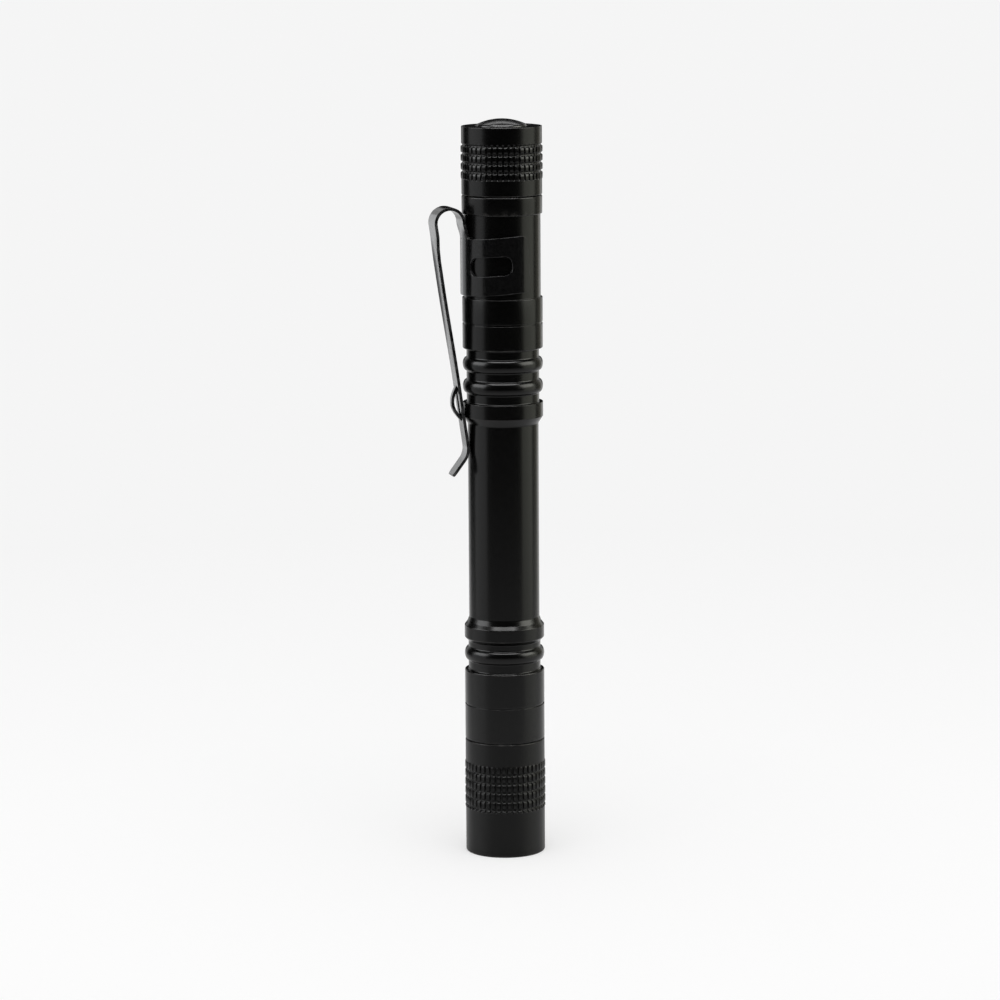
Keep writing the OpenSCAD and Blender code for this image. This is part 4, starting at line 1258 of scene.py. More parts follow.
@dataclass
class Tail:
    """The tail: knurled cap and rubber boot."""

    knurl: Knurl = Knurl()
    wall_r: float = 7.1
    edge: float = 0.2
    rim_edge: float = 0.1
    inner_edge: float = 0.06
    hole_r: float = 4.7
    hole_edge: float = 0.08
    pocket_r: float = 6.1
    web_z: float = 129.0
    thread_bore_r: float = 6.35
    thread_bore_z: float = 122.0
    knurl_z: Span = (121.1, 127.22)
    crown_r: float = 4.5
    crown_bore_r: float = 3.7
    roof_z: float = 130.7
    dome_r: float = 10.2
    dome_points: int = 24
    shoulder: float = 0.45
    shoulder_points: int = 12
    side_rows: int = 6
    flange_gap: float = 0.02
    boot_fold_z: Span = (128.75, 130.3)

    def cap(self) -> bpy.types.Object:
        """Builds the cap with its rows of teeth, each with its groove above it.

        Returns:
            The cap.
        """
        box, inner = NodeBox.of("tail_cap"), self.inner_edge
        section = Section.rounded([
            (self.thread_bore_r, box.low, inner), (self.wall_r, box.low, self.edge),
            (self.wall_r, box.high, self.rim_edge), (self.hole_r, box.high, self.hole_edge),
            (self.hole_r, self.web_z, inner), (self.pocket_r, self.web_z, inner),
            (self.pocket_r, self.thread_bore_z, inner), (self.thread_bore_r, self.thread_bore_z, inner),
        ])
        surface = self.knurl.cut(section, self.wall_r, *self.knurl_z)
        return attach(add_piece("tail_barrel", surface, Finishes.cap, "tail_cap"), "tail_cap")

    def crown(self, top: float) -> np.ndarray:
        """Gives the outline of the boot's crown: its side, a round shoulder and part of a sphere.

        The shoulder meets the side and the sphere from inside: its middle is its own radius in from the side,
        and as far from the sphere's middle as both radii differ.

        Args:
            top: Height of the flange's top, where the side begins.

        Returns:
            Radius, height and no rounding of each point, from the flange up to the middle.
        """
        apex = NodeBox.of("boot_crown").high
        shoulder_r = self.crown_r - self.shoulder
        climb = math.sqrt((self.dome_r - self.shoulder) ** 2 - shoulder_r**2)
        shoulder_z = apex - self.dome_r + climb
        meet = math.atan2(shoulder_r, climb)
        turn = np.linspace(math.pi / 2, meet, self.shoulder_points)
        lean = np.linspace(meet, 0.0, self.dome_points)[1:]
        side = np.linspace(top, shoulder_z, self.side_rows + 2)[1:-1]
        line = np.concatenate([
            np.column_stack([np.full(self.side_rows, self.crown_r), side]),
            np.array([shoulder_r, shoulder_z]) + self.shoulder * circle(turn)[:, ::-1],
            np.array([0.0, apex - self.dome_r]) + self.dome_r * circle(lean)[:, ::-1],
        ])
        return np.pad(line, ((0, 0), (0, 1)))

    def boot(self) -> bpy.types.Object:
        """Builds the boot: a clamped flange and a crown.

        Returns:
            The boot.
        """
        flange, soft = NodeBox.of("boot_flange"), self.inner_edge
        top = self.web_z - self.flange_gap
        section = Section.rounded([
            (self.crown_bore_r, flange.low, soft), (flange.radius, flange.low, soft),
            (flange.radius, top, soft), (self.crown_r, top, soft), *self.crown(top).tolist(),
            (0.0, self.roof_z, 0.0), (self.crown_bore_r, self.roof_z, soft),
        ])
        boot = add_piece("tail_boot", section.turned(), Finishes.boot, "boot_flange", "boot_crown")
        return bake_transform(boot)

    def build(self) -> list[bpy.types.Object]:
        """Builds the cap and the boot.

        Returns:
            Both pieces.
        """
        return [self.cap(), self.boot()]


@dataclass(frozen=True)
class Coil:
    """A wound spring: its node, the radii of its turns at its low and high end, turns and wire."""

    node: str
    low_r: float
    high_r: float
    turns: float
    wire: float
    steps: int = 40

    def surface(self) -> Surface:
        """Carries the wire along a helix whose radius and height change evenly along its turns.

        Returns:
            The wound wire.
        """
        box = NodeBox.of(self.node)
        share = np.linspace(0.0, 1.0, int(self.turns * self.steps))
        radius = self.low_r + (self.high_r - self.low_r) * share
        angle = TURN * self.turns * share
        height = box.low + self.wire / 2 + (box.high - box.low - self.wire) * share
        path = np.column_stack([radius * np.cos(angle), radius * np.sin(angle), height])
        return wire_along(path, self.wire / 2)

    def build(self, name: str) -> bpy.types.Object:
        """Builds the spring in place of its node."""
        return add_piece(name, self.surface(), Finishes.wire, self.node)


@dataclass
class Springs:
    """The contact springs at both ends of the cells and the spring of the switch."""

    contact: Coil = Coil("contact_spring", 2.3, 1.4, 3.0, 0.5)
    tail: Coil = Coil("tail_spring", 2.3, 3.3, 5.0, 0.6)
    switch: Coil = Coil("switch_spring", 0.825, 0.825, 4.0, 0.25)

    def stretching(self, coil: Coil, name: str) -> bpy.types.Object:
        """Builds a spring that sits between two bodies, with its place baked into its mesh.

        Args:
            coil: The spring.
            name: Name of the piece.

        Returns:
            The piece.
        """
        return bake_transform(coil.build(name))

    def build(self) -> list[bpy.types.Object]:
        """Builds the three springs.

        Returns:
            The springs.
        """
        return [
            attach(self.contact.build("contact_coil"), "tube"),
            self.stretching(self.tail, "tail_coil"),
            self.stretching(self.switch, "switch_coil"),
        ]


@dataclass
class Cells:
    """Two cells in line, each a jacketed can with a nub towards the head."""

    nub_r: float = 1.9
    nub_h: float = 0.8
    rim_r: float = 4.4
    jacket_edge: float = 0.4
    edge: float = 0.2

    def build(self) -> list[bpy.types.Object]:
        """Builds both cells. Their ends inside the jacket's rim are bare steel.

        Returns:
            The cells.
        """
        cells = []
        for node in ("front_cell", "rear_cell"):
            box, jacket = NodeBox.of(node), self.jacket_edge
            shoulder = box.low + self.nub_h
            section = Section.rounded([
                (0.0, box.low, 0.0), (self.nub_r, box.low, self.edge), (self.nub_r, shoulder, self.edge),
                (self.rim_r, shoulder, 0.0), (box.radius, shoulder, jacket), (box.radius, box.high, jacket),
                (self.rim_r, box.high, 0.0), (0.0, box.high, 0.0),
            ])
            section.edge = (section.line[:, 0] <= self.rim_r).astype(float)
            cell = add_piece(node.replace("cell", "can"), section.turned(), Finishes.cell, node)
            cells.append(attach(cell, "tube"))
        return cells


@dataclass
class LightEngine:
    """The emitter and what carries and drives it, and the small parts of the switch."""

    dome_points: int = 16

    def dome(self) -> bpy.types.Object:
        """Builds the emitter's dome: a quarter circle carried round the axis, its top towards the lens.

        Returns:
            The dome.
        """
        box = NodeBox.of("led_dome")
        lean = np.linspace(0.0, math.pi / 2, self.dome_points)
        arc = np.column_stack([box.radius * np.sin(lean), box.high - (box.high - box.low) * np.cos(lean)])
        section = Section.smooth(arc, [[0.0, box.high]])
        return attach(add_piece("emitter_dome", section.turned(), Finishes.silicone, "led_dome"), "tube")

    def build(self) -> list[bpy.types.Object]:
        """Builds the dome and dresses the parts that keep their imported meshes.

        Returns:
            The dome.
        """
        dressed = {
            "led_ring": Finishes.plastic,
            "led_package": Finishes.ceramic,
            "led_board": Finishes.board,
            "pill": Finishes.brass,
            "led_leads": Finishes.lead,
            "driver_board": Finishes.circuit,
            "driver_parts": Finishes.component,
            "retaining_ring": Finishes.brass,
            "switch_board": Finishes.circuit,
            "switch_pins": Finishes.pin,
            "switch_case": Finishes.component,
            "boot_spacer": Finishes.plastic,
            "switch_plunger": Finishes.plastic,
        }
        for node, finish in dressed.items():
            dress_node(node, finish)
        return [self.dome()]


@dataclass
class Spine:
    """The middle line of the clip's strip in the x-z plane.

    It has points, the sheet's inner normals there, the way along the line, and the rows at both ends of
    the bridge.
    """

    line: np.ndarray
    normal: np.ndarray
    along: np.ndarray
    bridge: tuple[int, int]


@dataclass
class PocketClip:
    """The spring steel clip: a band with two windows round the tube, a loop, and an arm with a raised bridge.

    It is one bent sheet. On the band, a point's place is its way round the middle of the sheet and its height
    over the band's lower edge. On the strip, it is its way along the strip and across it.
    """

    sheet: float = 0.55
    mid_r: float = 7.133
    band_z: float = 100.7
    band_h: float = 10.0
    lean_deg: float = 5.0
    wrap_deg: float = 114.0
    band_corner: float = 1.2
    window_len: float = 7.8
    window_h: float = 3.3
    window_deg: float = 56.3
    window_up: float = 5.05
    window_corner: float = 1.2
    strip_w: float = 4.4
    root_fillet: float = 0.55
    root_rise: float = 2.8
    root_lean: float = 0.36
    loop_r: float = 2.54
    arm_rest: Span = (-7.6, 79.0)
    arm_tail: float = 6.5
    bend_r: float = 3.5
    flare_deg: float = 37.0
    flare_len: float = 4.9
    neck_w: float = 3.4
    neck_span: Span = (2.0, 5.5)
    tip_w: float = 3.0
    tip_corner: float = 0.7
    bridge_len: float = 6.4
    bridge_rise: float = 1.36
    bridge_w: float = 1.0
    bridge_up: float = 2.6
    bridge_ease: float = 1.15
    hollow: float = 0.25
    hollow_rise: Span = (3.0, 5.5)
    hollow_fade: Span = (11.0, 28.0)
    band_rows: int = 20
    ring_steps: int = 12
    side_steps: int = 22
    corner_steps: int = 6
    side_columns: int = 5
    bridge_columns: int = 4
    root_steps: tuple[int, int] = (6, 7)
    loop_points: int = 48
    arm_steps: tuple[int, int, int] = (14, 28, 3)
    bend_points: int = 14
    flare_points: int = 6
    tip_points: int = 9
    bevel: float = 0.055
    bevel_segments: int = 3
    flex_start: Corner = (-11.6, 0.0, 116.4)
    flex_end: Corner = (-13.39, 0.0, 115.95)

    def lean_rise(self, way: np.ndarray) -> np.ndarray:
        """Gives how far the leaning band has risen: its depth behind the root times the lean's tangent."""
        return self.mid_r * (1.0 - np.cos(way / self.mid_r)) * math.tan(math.radians(self.lean_deg))

    def on_band(self, way: np.ndarray, up: np.ndarray) -> np.ndarray:
        """Bends flat places round the tube and leans the band.

        A leaning band's places slip back round the tube by the lean's tangent times their height over the
        band's middle times the sine of their angle.

        Args:
            way: Way round from the root.
            up: Height over the lower edge.

        Returns:
            The points.
        """
        slip = (up - self.band_h / 2) * math.tan(math.radians(self.lean_deg))
        angle = way / self.mid_r - slip / self.mid_r * np.sin(way / self.mid_r)
        height = self.band_z + up + self.lean_rise(angle * self.mid_r)
        return np.stack([-self.mid_r * np.cos(angle), self.mid_r * np.sin(angle), height], axis=-1)

    def sheet_patch(self, points: np.ndarray, outer: np.ndarray, wrap: bool = False) -> Surface:
        """Makes a patch of the sheet whose faces point to the given outer side.

        Args:
            points: Grid of points.
            outer: Outer direction at each point.
            wrap: Whether the patch's columns close into a ring.

        Returns:
            The patch.
        """
        patch = Surface.grid(points, np.zeros(1), wrap_rows=False, wrap_columns=wrap)
        return patch.facing(np.broadcast_to(outer, points.shape).reshape(-1, 3))

    def half_outline(self, near: float, far: float) -> np.ndarray:
        """Gives the outline of half of the flat band: the root's side, then round by the two rounded corners.

        Args:
            near: Way of the root's side.
            far: Way of the free end.

        Returns:
            Points of the outline in order.
        """
        corner = self.band_corner
        quarter = np.linspace(0.0, math.pi / 2, self.corner_steps, endpoint=False)[1:]
        along = np.linspace(near, far - corner, self.side_steps)
        up = np.linspace(corner, self.band_h - corner, self.band_rows)
        low_turn = np.array([far - corner, corner]) + corner * circle(quarter - math.pi / 2)
        top_turn = np.column_stack([low_turn[::-1, 0], self.band_h - low_turn[::-1, 1]])
        root = np.linspace(self.band_h, 0.0, self.band_rows + 1)[1:-1]
        return np.concatenate([
            np.column_stack([along, 0.0 * along]),
            low_turn,
            np.column_stack([far + 0.0 * up, up]),
            top_turn,
            np.column_stack([along[::-1], self.band_h + 0.0 * along]),
            np.column_stack([near + 0.0 * root, root]),
        ])

    def window_reach(self, aim: np.ndarray) -> np.ndarray:
        """Gives how far the window's edge is from its middle in each direction.

        Its straight edges are met at half its length or height. Where that is past both, a corner's arc is
        met instead: at the share of its middle along the direction plus the half chord that the arc leaves
        there.

        Args:
            aim: Unit directions.

        Returns:
            The distances.
        """
        half = np.array([self.window_len, self.window_h]) / 2
        middle = half - self.window_corner
        way = np.abs(aim)
        straight = (half / np.maximum(way, MERGE_REACH)).min(axis=1)
        aside = way[:, 0] * middle[1] - way[:, 1] * middle[0]
        arc = way @ middle + np.sqrt(np.maximum(self.window_corner**2 - aside**2, 0.0))
        return np.where((straight[:, None] * way > middle).all(axis=1), arc, straight)

    def half_band(self, near: float, side: float) -> Surface:
        """Builds half of the band as rings that go over from the window's edge to the band's outline.

        Args:
            near: Way of the root's side.
            side: 1 or -1 for the two halves.

        Returns:
            The patch.
        """
        outline = self.half_outline(near, self.mid_r * math.radians(self.wrap_deg))
        middle = np.array([self.mid_r * math.radians(self.window_deg), self.window_up])
        aim = outline - middle
        aim /= np.linalg.norm(aim, axis=1, keepdims=True)
        window = middle + aim * self.window_reach(aim)[:, None]
        share = np.linspace(0.0, 1.0, self.ring_steps)[:, None, None]
        flat = window + (outline - window) * share
        points = self.on_band(side * flat[..., 0], flat[..., 1])
        return self.sheet_patch(points, points * LEVEL, wrap=True)

    def spine(self) -> Spine:
        """Works out the strip's middle line: root, loop, arm, bend and flare.

        Straight stretches and arcs follow each other with one direction, except at the root, where the strip
        leaves the band. The side that the loop turns away from is the sheet's inner normal.

        Returns:
            The line.
        """
        foot = np.array([-self.mid_r, self.band_z + self.band_h])
        centre = foot + np.array([-self.root_lean - self.loop_r, self.root_rise])
        rest = np.array(self.arm_rest)
        run = centre - rest
        slope = math.atan(-run[0] / run[1]) + math.asin(self.loop_r / np.linalg.norm(run))
        flare = math.radians(self.flare_deg)
        arm_way = np.array([math.sin(slope), -math.cos(slope)])
        arm_out = np.array([-math.cos(slope), -math.sin(slope)])
        reach = self.bend_r * math.tan((slope + flare) / 2)
        knee = rest + self.arm_tail * arm_way
        tip = knee + self.flare_len * np.array([-math.sin(flare), -math.cos(flare)])

        root_share = stretch(0.0, self.root_fillet / self.root_rise, 1.0, counts=self.root_steps)[:-1, None]
        root = foot + (centre + np.array([self.loop_r, 0.0]) - foot) * root_share
        loop_n = circle(np.linspace(0.0, math.pi + slope, self.loop_points))
        arm_start = centre + self.loop_r * arm_out
        arm_len = np.linalg.norm(knee - reach * arm_way - arm_start)
        bridge_end = arm_len - self.arm_tail + reach - self.bridge_up + self.bridge_len / 2
        arm_stops = (0.0, bridge_end - self.bridge_len, bridge_end, arm_len)
        arm = arm_start + arm_way * stretch(*arm_stops, counts=self.arm_steps)[1:-1, None]
        bend_n = circle(np.linspace(math.pi + slope, math.pi - flare, self.bend_points))
        bend = knee - reach * arm_way + self.bend_r * arm_out - self.bend_r * bend_n
        flare_run = tip - bend[-1]
        flare_len = np.linalg.norm(flare_run)
        tip_start = flare_len - self.tip_corner
        tip_turn = np.linspace(0.0, math.pi / 2, self.tip_points)
        flare_along = np.concatenate([
            np.linspace(0.0, tip_start, self.flare_points)[1:-1],
            tip_start + self.tip_corner * np.sin(tip_turn),
        ])
        end = bend[-1] + flare_run / flare_len * flare_along[:, None]

        line = np.concatenate([root, centre + self.loop_r * loop_n, arm, bend, end])
        normal = np.concatenate([
            np.tile([1.0, 0.0], (len(root), 1)),
            loop_n,
            np.tile(arm_out, (len(arm), 1)),
            bend_n,
            np.tile(bend_n[-1], (len(end), 1)),
        ])
        step = np.linalg.norm(np.diff(line, axis=0), axis=1)
        along = np.concatenate([[0.0], np.cumsum(step)])
        first = len(root) + len(loop_n) + self.arm_steps[0] - 1
        return Spine(line, normal, along, (first, first + self.arm_steps[1]))

    def loop_len(self) -> float:
        """Gives the way along the strip from its root to where the loop has turned it round."""
        return self.root_rise + math.pi * self.loop_r

    def half_width(self, along: np.ndarray) -> np.ndarray:
        """Works out half the strip's width along it.

        A quarter-circle fillet widens it at the root, it eases in below the loop and narrows evenly down the
        arm, and a quarter circle rounds each corner of the tip.

        Args:
            along: Way along the strip.

        Returns:
            The half widths.
        """
        total = along[-1]
        start, end = self.loop_len() + np.array(self.neck_span)
        neck = smoothstep((along - start) / (end - start))
        narrow = np.clip((along - end) / (total - end), 0.0, 1.0)
        half = (self.strip_w + (self.neck_w - self.strip_w) * neck + (self.tip_w - self.neck_w) * narrow) / 2
        climb = np.clip(along / self.root_fillet, 0.0, 1.0)
        half = half + self.root_fillet * (1.0 - np.sqrt(1.0 - (1.0 - climb) ** 2))
        past = np.clip((along - total + self.tip_corner) / self.tip_corner, 0.0, 1.0)
        return half - self.tip_corner * (1.0 - np.sqrt(1.0 - past**2))

    def strip_points(self, spine: Spine, across: np.ndarray, lift: np.ndarray) -> np.ndarray:
        """Places the strip's points.

        Across the strip, a point follows a circle that unrolls from the band's curve at the root to a flat
        line at the loop, and lies further out by its lift.

        Args:
            spine: The strip's middle line.
            across: Way across the strip at each row and column.
            lift: How far each row and column stands out from the sheet.

        Returns:
            Points by row and column.
        """
        curl = (1.0 - smoothstep(spine.along / self.root_rise))[:, None]
        turn = curl * across / self.mid_r
        side = across * np.sinc(turn / math.pi)
        dip = across * np.sinc(turn / 2 / math.pi) * np.sin(turn / 2)
        place = spine.line[:, None, :] + spine.normal[:, None, :] * (dip + lift)[..., None]
        rise = self.lean_rise(across) * curl
        return np.stack([place[..., 0], side, place[..., 1] + rise], axis=-1)

    def hollowed(self, along: np.ndarray) -> np.ndarray:
        """Works out how far the arm's sides stand out from its middle.

        It eases in below the loop, holds and eases out again.

        Args:
            along: Way along the strip.

        Returns:
            The distances.
        """
        past = along - self.loop_len()
        (low, high), (fade, end) = self.hollow_rise, self.hollow_fade
        return self.hollow * smoothstep((past - low) / (high - low)) * smoothstep((end - past) / (end - fade))

    def strip(self) -> tuple[list[Surface], np.ndarray]:
        """Builds the strip as two sides and a middle, which stands out from the sides at the bridge.

        The bridge rises by one less the square of its share, eased at its ends. Across the hollow stretch, a
        point stands out with the square of its share of the half width.

        Returns:
            The three patches, and the ways across the strip at the root.
        """
        spine = self.spine()
        along, normal = spine.along, spine.normal
        half = self.half_width(along)[:, None]
        inner = self.bridge_w / 2
        middle = np.tile(np.linspace(-inner, inner, self.bridge_columns + 1), (len(along), 1))
        right = inner + (half - inner) * np.linspace(0.0, 1.0, self.side_columns + 1)
        start, end = along[list(spine.bridge)]
        share = (along - start) / (end - start) * 2.0 - 1.0
        rise = self.bridge_rise * np.maximum(1.0 - share**2, 0.0) ** self.bridge_ease
        outer = np.stack([-normal[:, 0], 0.0 * along, -normal[:, 1]], axis=-1)[:, None]
        flat = np.zeros((len(along), 1))
        hollow = self.hollowed(along)[:, None]
        patches = []
        for across, lift in ((right, flat), (middle, rise[:, None]), (-right[:, ::-1], flat)):
            points = self.strip_points(spine, across, lift + hollow * (across / half) ** 2)
            patches.append(self.sheet_patch(points, outer))
        return patches, np.concatenate([-right[0, ::-1], middle[0, 1:-1], right[0]])

    def sheet_surface(self) -> Surface:
        """Puts the band's halves, the root between them and the strip into one thick sheet.

        Returns:
            The sheet.
        """
        strip, root = self.strip()
        up = np.linspace(0.0, self.band_h, self.band_rows + 1)
        grid = self.on_band(*np.broadcast_arrays(root[None, :], up[:, None]))
        patches = [self.sheet_patch(grid, grid * LEVEL), *strip]
        patches += [self.half_band(root[-1], side) for side in (1.0, -1.0)]
        return Surface.joined(patches).merged().thickened(self.sheet)

    def mark_bevel_wear_and_sheen(self, mesh: bpy.types.Mesh) -> None:
        """Marks the points of the bevels as worn edges, whose bare colour is partly wear and partly a painted
        highlight, and puts the bevels into the first material.

        Args:
            mesh: The clip's mesh, whose bevels are in the second material.
        """
        slot = np.zeros(len(mesh.polygons), dtype=np.int32)
        sides = np.zeros(len(mesh.polygons), dtype=np.int32)
        corner = np.zeros(len(mesh.loops), dtype=np.int32)
        mesh.polygons.foreach_get("material_index", slot)
        mesh.polygons.foreach_get("loop_total", sides)
        mesh.loops.foreach_get("vertex_index", corner)
        edge = np.zeros(len(mesh.vertices), dtype=np.float32)
        edge[corner[np.repeat(slot, sides) == 1]] = 1.0
        mesh.attributes[EDGE_MASK].data.foreach_set("value", edge)
        mesh.polygons.foreach_set("material_index", np.zeros_like(slot))
        mesh.materials.pop(index=1)

    def round_edges(self, clip: bpy.types.Object) -> None:
        """Bevels the sheet's sharp edges and keeps its faces flat in shading.

        Args:
            clip: The clip, which gets the bevelled mesh in place of its own.
        """
        clip.data.materials.append(Finishes.clip.material())
        bevel = clip.modifiers.new("rounded_edges", "BEVEL")
        bevel.width = self.bevel * MM
        bevel.segments = self.bevel_segments
        bevel.limit_method = "ANGLE"
        bevel.angle_limit = math.radians(SHARP_DEG)
        bevel.use_clamp_overlap = False
        bevel.material = 1
        clip.modifiers.new("flat_faces", "WEIGHTED_NORMAL").keep_sharp = True
        shaped = clip.evaluated_get(bpy.context.evaluated_depsgraph_get())
        rough = clip.data
        clip.data = bpy.data.meshes.new_from_object(shaped)
        clip.modifiers.clear()
        bpy.data.meshes.remove(rough)
        self.mark_bevel_wear_and_sheen(clip.data)

    def build(self) -> list[bpy.types.Object]:
        """Builds the clip and rounds its edges.

        Returns:
            The clip.
        """
        clip = add_piece("spring_clip", self.sheet_surface(), Finishes.clip, "clip_band", "clip_arm")
        self.round_edges(clip)
        return [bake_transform(clip)]


@dataclass(frozen=True)
class SoftBox:
    """A soft lamp that shows in reflections: its bearing from the camera's, height angle, size and light.

    Lengths are in metres. It may light one piece only.
    """

    name: str
    bearing_deg: float
    height_deg: float
    distance: float
    width: float
    height: float
    radiance: float
    tint: Colour
    only: str = ""

    def build(self, camera_deg: float, aim: Vector) -> None:
        """Adds the lamp.

        Args:
            camera_deg: Bearing of the camera round the object.
            aim: Point that it faces.
        """
        back = direction(camera_deg + self.bearing_deg, self.height_deg)
        lamp = bpy.data.lights.new(self.name, "AREA")
        lamp.shape = "RECTANGLE"
        lamp.size, lamp.size_y = self.width, self.height
        lamp.energy = LAMP_POWER * self.radiance * self.width * self.height
        lamp.color = self.tint
        holder = bpy.data.objects.new(self.name, lamp)
        turned = (-back).to_track_quat("-Z", "Y").to_matrix().to_4x4()
        holder.matrix_world = Matrix.Translation(aim + back * self.distance) @ turned
        holder.visible_diffuse = False
        bpy.context.scene.collection.objects.link(holder)
        if self.only:
            lit = bpy.data.collections.new(self.name)
            lit.objects.link(bpy.data.objects[self.only])
            holder.light_linking.receiver_collection = lit


@dataclass
class Studio:
    """Camera, lamps, pale floor and world. Lengths are in metres."""

    camera_deg: float = -16.0
    camera_height_deg: float = 9.3
    camera_distance: float = 0.7
    camera_depth: Span = (0.01, 100.0)
    aim_z: float = 0.06376
    aim_left: float = 0.00065
    roll_deg: float = 0.355
    sensor: float = 36.0
    lens: float = 141.6
    floor_half: float = 12.0
    floor_near: Colour = (0.97, 0.97, 0.97)
    floor_far: Colour = (0.855, 0.855, 0.855)
    floor_fades: Span = (0.1, 0.34)
    glow: float = 0.45
    glow_near: Colour = (0.985, 0.985, 0.985)
    glow_far: Colour = (0.913, 0.913, 0.913)
    floor_roughness: float = 0.42
    floor_specular: float = 0.06
    floor_mirrored: Span = (0.1, 0.42)
    shown_white: Colour = (0.913, 0.913, 0.913)
    fill_white: Colour = (1.0, 1.0, 1.0)
    fill: float = 1.07
    fill_lean: float = 0.6
    fill_depth: float = 1.0
    front_dark: Colour = (0.003, 0.003, 0.003)
    back_white: Colour = (0.95, 0.95, 0.95)
    back_from: Span = (0.72, 0.84)
    back_beside: Span = (0.88, 0.94)
    back_below: Span = (-0.12, -0.05)
    back_above: Span = (0.13, 0.2)
    back_aside: Span = (0.1, 0.2)
    back_top: Span = (0.3, 0.36)
    lamps: tuple[SoftBox, ...] = (
        SoftBox("left_box", -81.0, 5.0, 0.75, 0.72, 1.2, 0.95, (0.98, 0.99, 1.0)),
        SoftBox("right_box", 85.0, 5.0, 0.75, 0.64, 1.2, 1.3, (1.0, 1.02, 0.88)),
        SoftBox("right_back_box", 135.0, 5.0, 0.75, 0.5, 1.2, 0.3, (1.0, 0.98, 0.8)),
        SoftBox("left_high_box", -77.0, 26.0, 0.75, 0.55, 0.45, 4.5, (0.98, 0.99, 1.0)),
        SoftBox("right_high_box", 77.0, 26.0, 0.75, 0.55, 0.45, 4.5, (1.0, 1.0, 0.93)),
        SoftBox("top_box", 0.0, 82.0, 0.9, 0.85, 0.7, 10.0, (1.0, 1.0, 1.0)),
        SoftBox("back_box", 180.0, 43.0, 0.9, 0.5, 0.13, 1.7, (1.0, 1.0, 1.0)),
        SoftBox("clip_box", -136.0, 3.0, 0.75, 0.43, 0.4, 1.0, (0.97, 0.98, 1.0), "spring_clip"),
    )

    def camera(self) -> None:
        """Adds the camera at the photograph's viewing angle, moved left a little and rolled."""
        back = direction(self.camera_deg, self.camera_height_deg)
        turned = (-back).to_track_quat("-Z", "Y").to_matrix()
        right = turned @ Vector((1.0, 0.0, 0.0))
        place = Vector((0.0, 0.0, self.aim_z)) + back * self.camera_distance - right * self.aim_left
        rolled = turned @ Matrix.Rotation(math.radians(-self.roll_deg), 3, "Z")
        data = bpy.data.cameras.new("photo_camera")
        data.sensor_width, data.lens = self.sensor, self.lens
        data.clip_start, data.clip_end = self.camera_depth
        camera = bpy.data.objects.new("photo_camera", data)
        camera.matrix_world = Matrix.Translation(place) @ rolled.to_4x4()
        bpy.context.scene.collection.objects.link(camera)
        bpy.context.scene.camera = camera

    def floor_material(self) -> bpy.types.Material:
        """Makes the floor's material.

        It has a faint gloss near the object and is plain further off, and the camera sees a share of it lit
        evenly, which softens the shadow. Reflections see it near the object only, where it thins out with its
        distance from the axis, and see the lamps and the world past it.

        Returns:
            The material.
        """
        material = bpy.data.materials.new("floor")
        material.use_nodes = True
        sheet = NodeSheet(material.node_tree)
        nodes = material.node_tree.nodes
        path = sheet.add("ShaderNodeLightPath").outputs
        away = sheet.measured("LENGTH", sheet.place())
        far = sheet.spread(away, self.floor_fades, RISING)
        glossy = nodes["Principled BSDF"]
        sheet.feed(glossy, {
            "Base Color": opaque(self.floor_near),
            "Roughness": self.floor_roughness,
            "Specular IOR Level": self.floor_specular,
        })
        plain = sheet.add("ShaderNodeBsdfDiffuse", {"Color": opaque(self.floor_far)})
        shown = sheet.layered(far, glossy.outputs[0], plain.outputs[0])
        tone = sheet.mixed(far, self.glow_near, self.glow_far)
        glow = sheet.add("ShaderNodeEmission", {"Color": tone, "Strength": 1.0})
        glow_share = sheet.worked("MULTIPLY", path["Is Camera Ray"], self.glow)
        lit = sheet.layered(glow_share, shown, glow.outputs[0])
        thin = sheet.spread(away, self.floor_mirrored, RISING)
        thin = sheet.worked("MULTIPLY", thin, path["Is Glossy Ray"])
        clear = sheet.add("ShaderNodeBsdfTransparent")
        sheet.feed(nodes["Material Output"], {"Surface": sheet.layered(thin, lit, clear.outputs[0])})
        return material

    def floor(self) -> None:
        """Adds the pale floor under the bezel."""
        reach = self.floor_half
        corners = [(x * reach, y * reach, CAD_BOX[0].z) for x, y in ((-1, -1), (1, -1), (1, 1), (-1, 1))]
        mesh = bpy.data.meshes.new("floor")
        mesh.from_pydata(corners, [], [(0, 1, 2, 3)])
        mesh.materials.append(self.floor_material())
        floor = bpy.data.objects.new("floor", mesh)
        bpy.context.scene.collection.objects.link(floor)

    def mirrored(self, sheet: NodeSheet, share: Socket, across: Socket, height: Socket) -> Socket:
        """Works out what reflections see of the world.

        It is dark in front and white behind, by how far a direction points away from the camera, but dark
        high up and straight behind, above the floor.

        Args:
            sheet: The world's nodes.
            share: How far a direction points away from the camera.
            across: How far it points to the camera's right.
            height: How far it points up.

        Returns:
            The colour.
        """
        behind = sheet.spread(share, self.back_from, RISING)
        beside = sheet.spread(share, self.back_beside, FALLING)
        below = sheet.spread(height, self.back_below, FALLING)
        above = sheet.spread(height, self.back_above, RISING)
        aside = sheet.spread(sheet.worked("ABSOLUTE", across), self.back_aside, RISING)
        low = sheet.spread(height, self.back_top, FALLING)
        clear = sheet.worked("MAXIMUM", beside, below)
        clear = sheet.worked("MAXIMUM", clear, sheet.worked("MULTIPLY", above, aside))
        white = sheet.worked("MULTIPLY", sheet.worked("MULTIPLY", behind, clear), low)
        return sheet.mixed(white, self.front_dark, self.back_white)

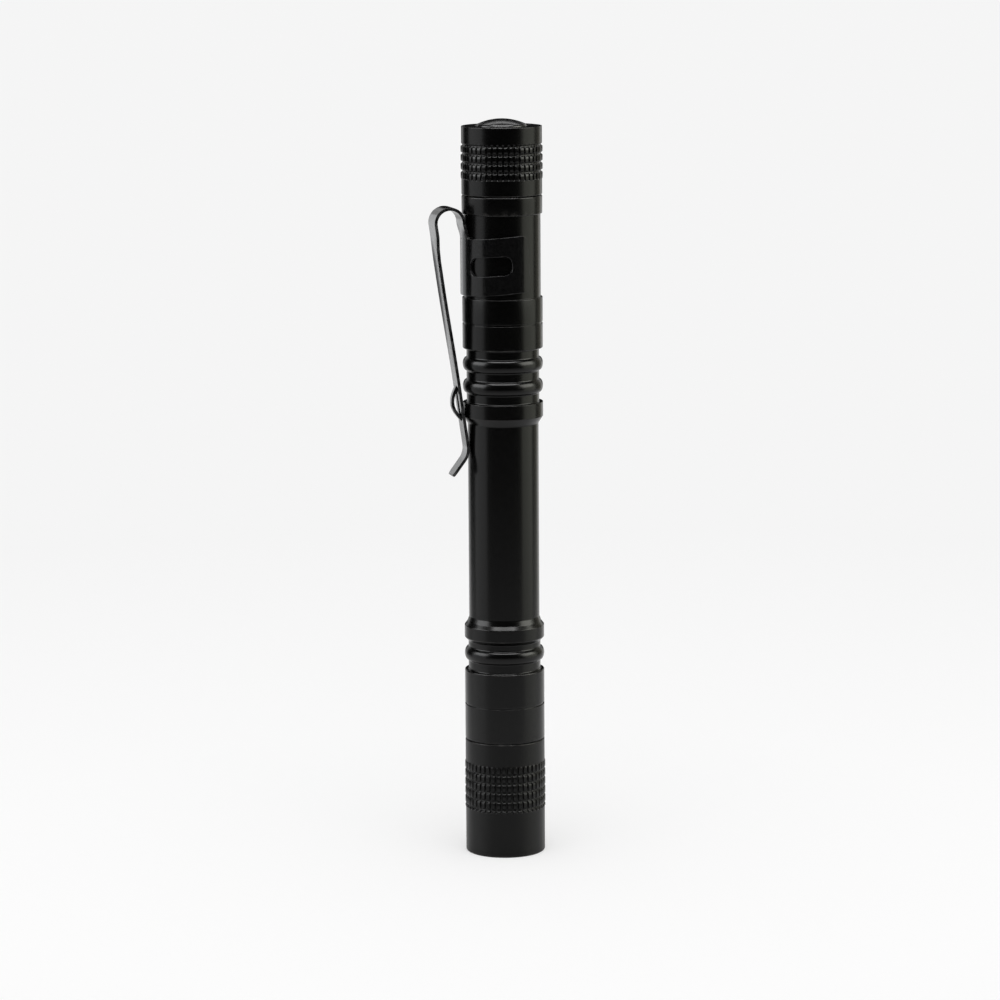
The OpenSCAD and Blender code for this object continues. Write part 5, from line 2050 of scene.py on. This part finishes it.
    def filled(self, sheet: NodeSheet, share: Socket, across: Socket) -> Socket:
        """Works out the strength of the diffuse light from a direction.

        It is stronger from in front, and from in front and behind than from the sides, by the square of the
        share less the square of the way across.

        Args:
            sheet: The world's nodes.
            share: How far a direction points away from the camera.
            across: How far it points to the camera's right.

        Returns:
            The strength.
        """
        squares = (sheet.worked("MULTIPLY", value, value) for value in (share, across))
        lean = sheet.worked("MULTIPLY_ADD", share, -self.fill_lean * self.fill, self.fill)
        deep = sheet.worked("MULTIPLY_ADD", sheet.worked("SUBTRACT", *squares), self.fill_depth / 2, 1.0)
        return sheet.worked("MULTIPLY", lean, deep)

    def world(self) -> None:
        """Lights the world: diffuse light and reflections see their own, the camera and glass see white."""
        world = bpy.data.worlds.new("studio")
        world.use_nodes = True
        world.cycles.sampling_method = "NONE"
        world.node_tree.nodes.clear()
        sheet = NodeSheet(world.node_tree)
        path = sheet.add("ShaderNodeLightPath").outputs
        way = sheet.add("ShaderNodeTexCoord").outputs["Generated"]
        share = sheet.measured("DOT_PRODUCT", way, -direction(self.camera_deg, 0.0))
        across = sheet.measured("DOT_PRODUCT", way, direction(self.camera_deg + QUARTER_DEG, 0.0))
        height = sheet.add("ShaderNodeSeparateXYZ", {"Vector": way}).outputs["Z"]
        lights = (
            (opaque(self.fill_white), self.filled(sheet, share, across)),
            (self.mirrored(sheet, share, across, height), 1.0),
            (opaque(self.shown_white), 1.0),
        )
        even, glossy, shown = (
            sheet.add("ShaderNodeBackground", {"Color": colour, "Strength": strength}).outputs[0]
            for colour, strength in lights
        )
        seen = sheet.worked("MAXIMUM", path["Is Camera Ray"], path["Is Transmission Ray"])
        lit = sheet.layered(seen, sheet.layered(path["Is Glossy Ray"], even, glossy), shown)
        sheet.add("ShaderNodeOutputWorld", {"Surface": lit})
        bpy.context.scene.world = world

    def build(self) -> None:
        """Builds the whole studio."""
        bpy.context.scene.view_settings.view_transform = "Standard"
        self.camera()
        self.floor()
        self.world()
        for lamp in self.lamps:
            lamp.build(self.camera_deg, Vector((0.0, 0.0, self.aim_z)))


def main() -> None:
    """Builds the penlight's sub-assemblies in order, and then the studio round them."""
    logging.basicConfig(level=logging.INFO, format="%(name)s: %(message)s")
    assemblies = (BodyTube(), SealRings(), Head(), Tail(), Springs(), Cells(), LightEngine(), PocketClip())
    for assembly in assemblies:
        pieces = assembly.build()
        LOG.info("%s: %s", type(assembly).__name__, ", ".join(piece.name for piece in pieces))
    Studio().build()


if __name__ == "__main__":
    main()
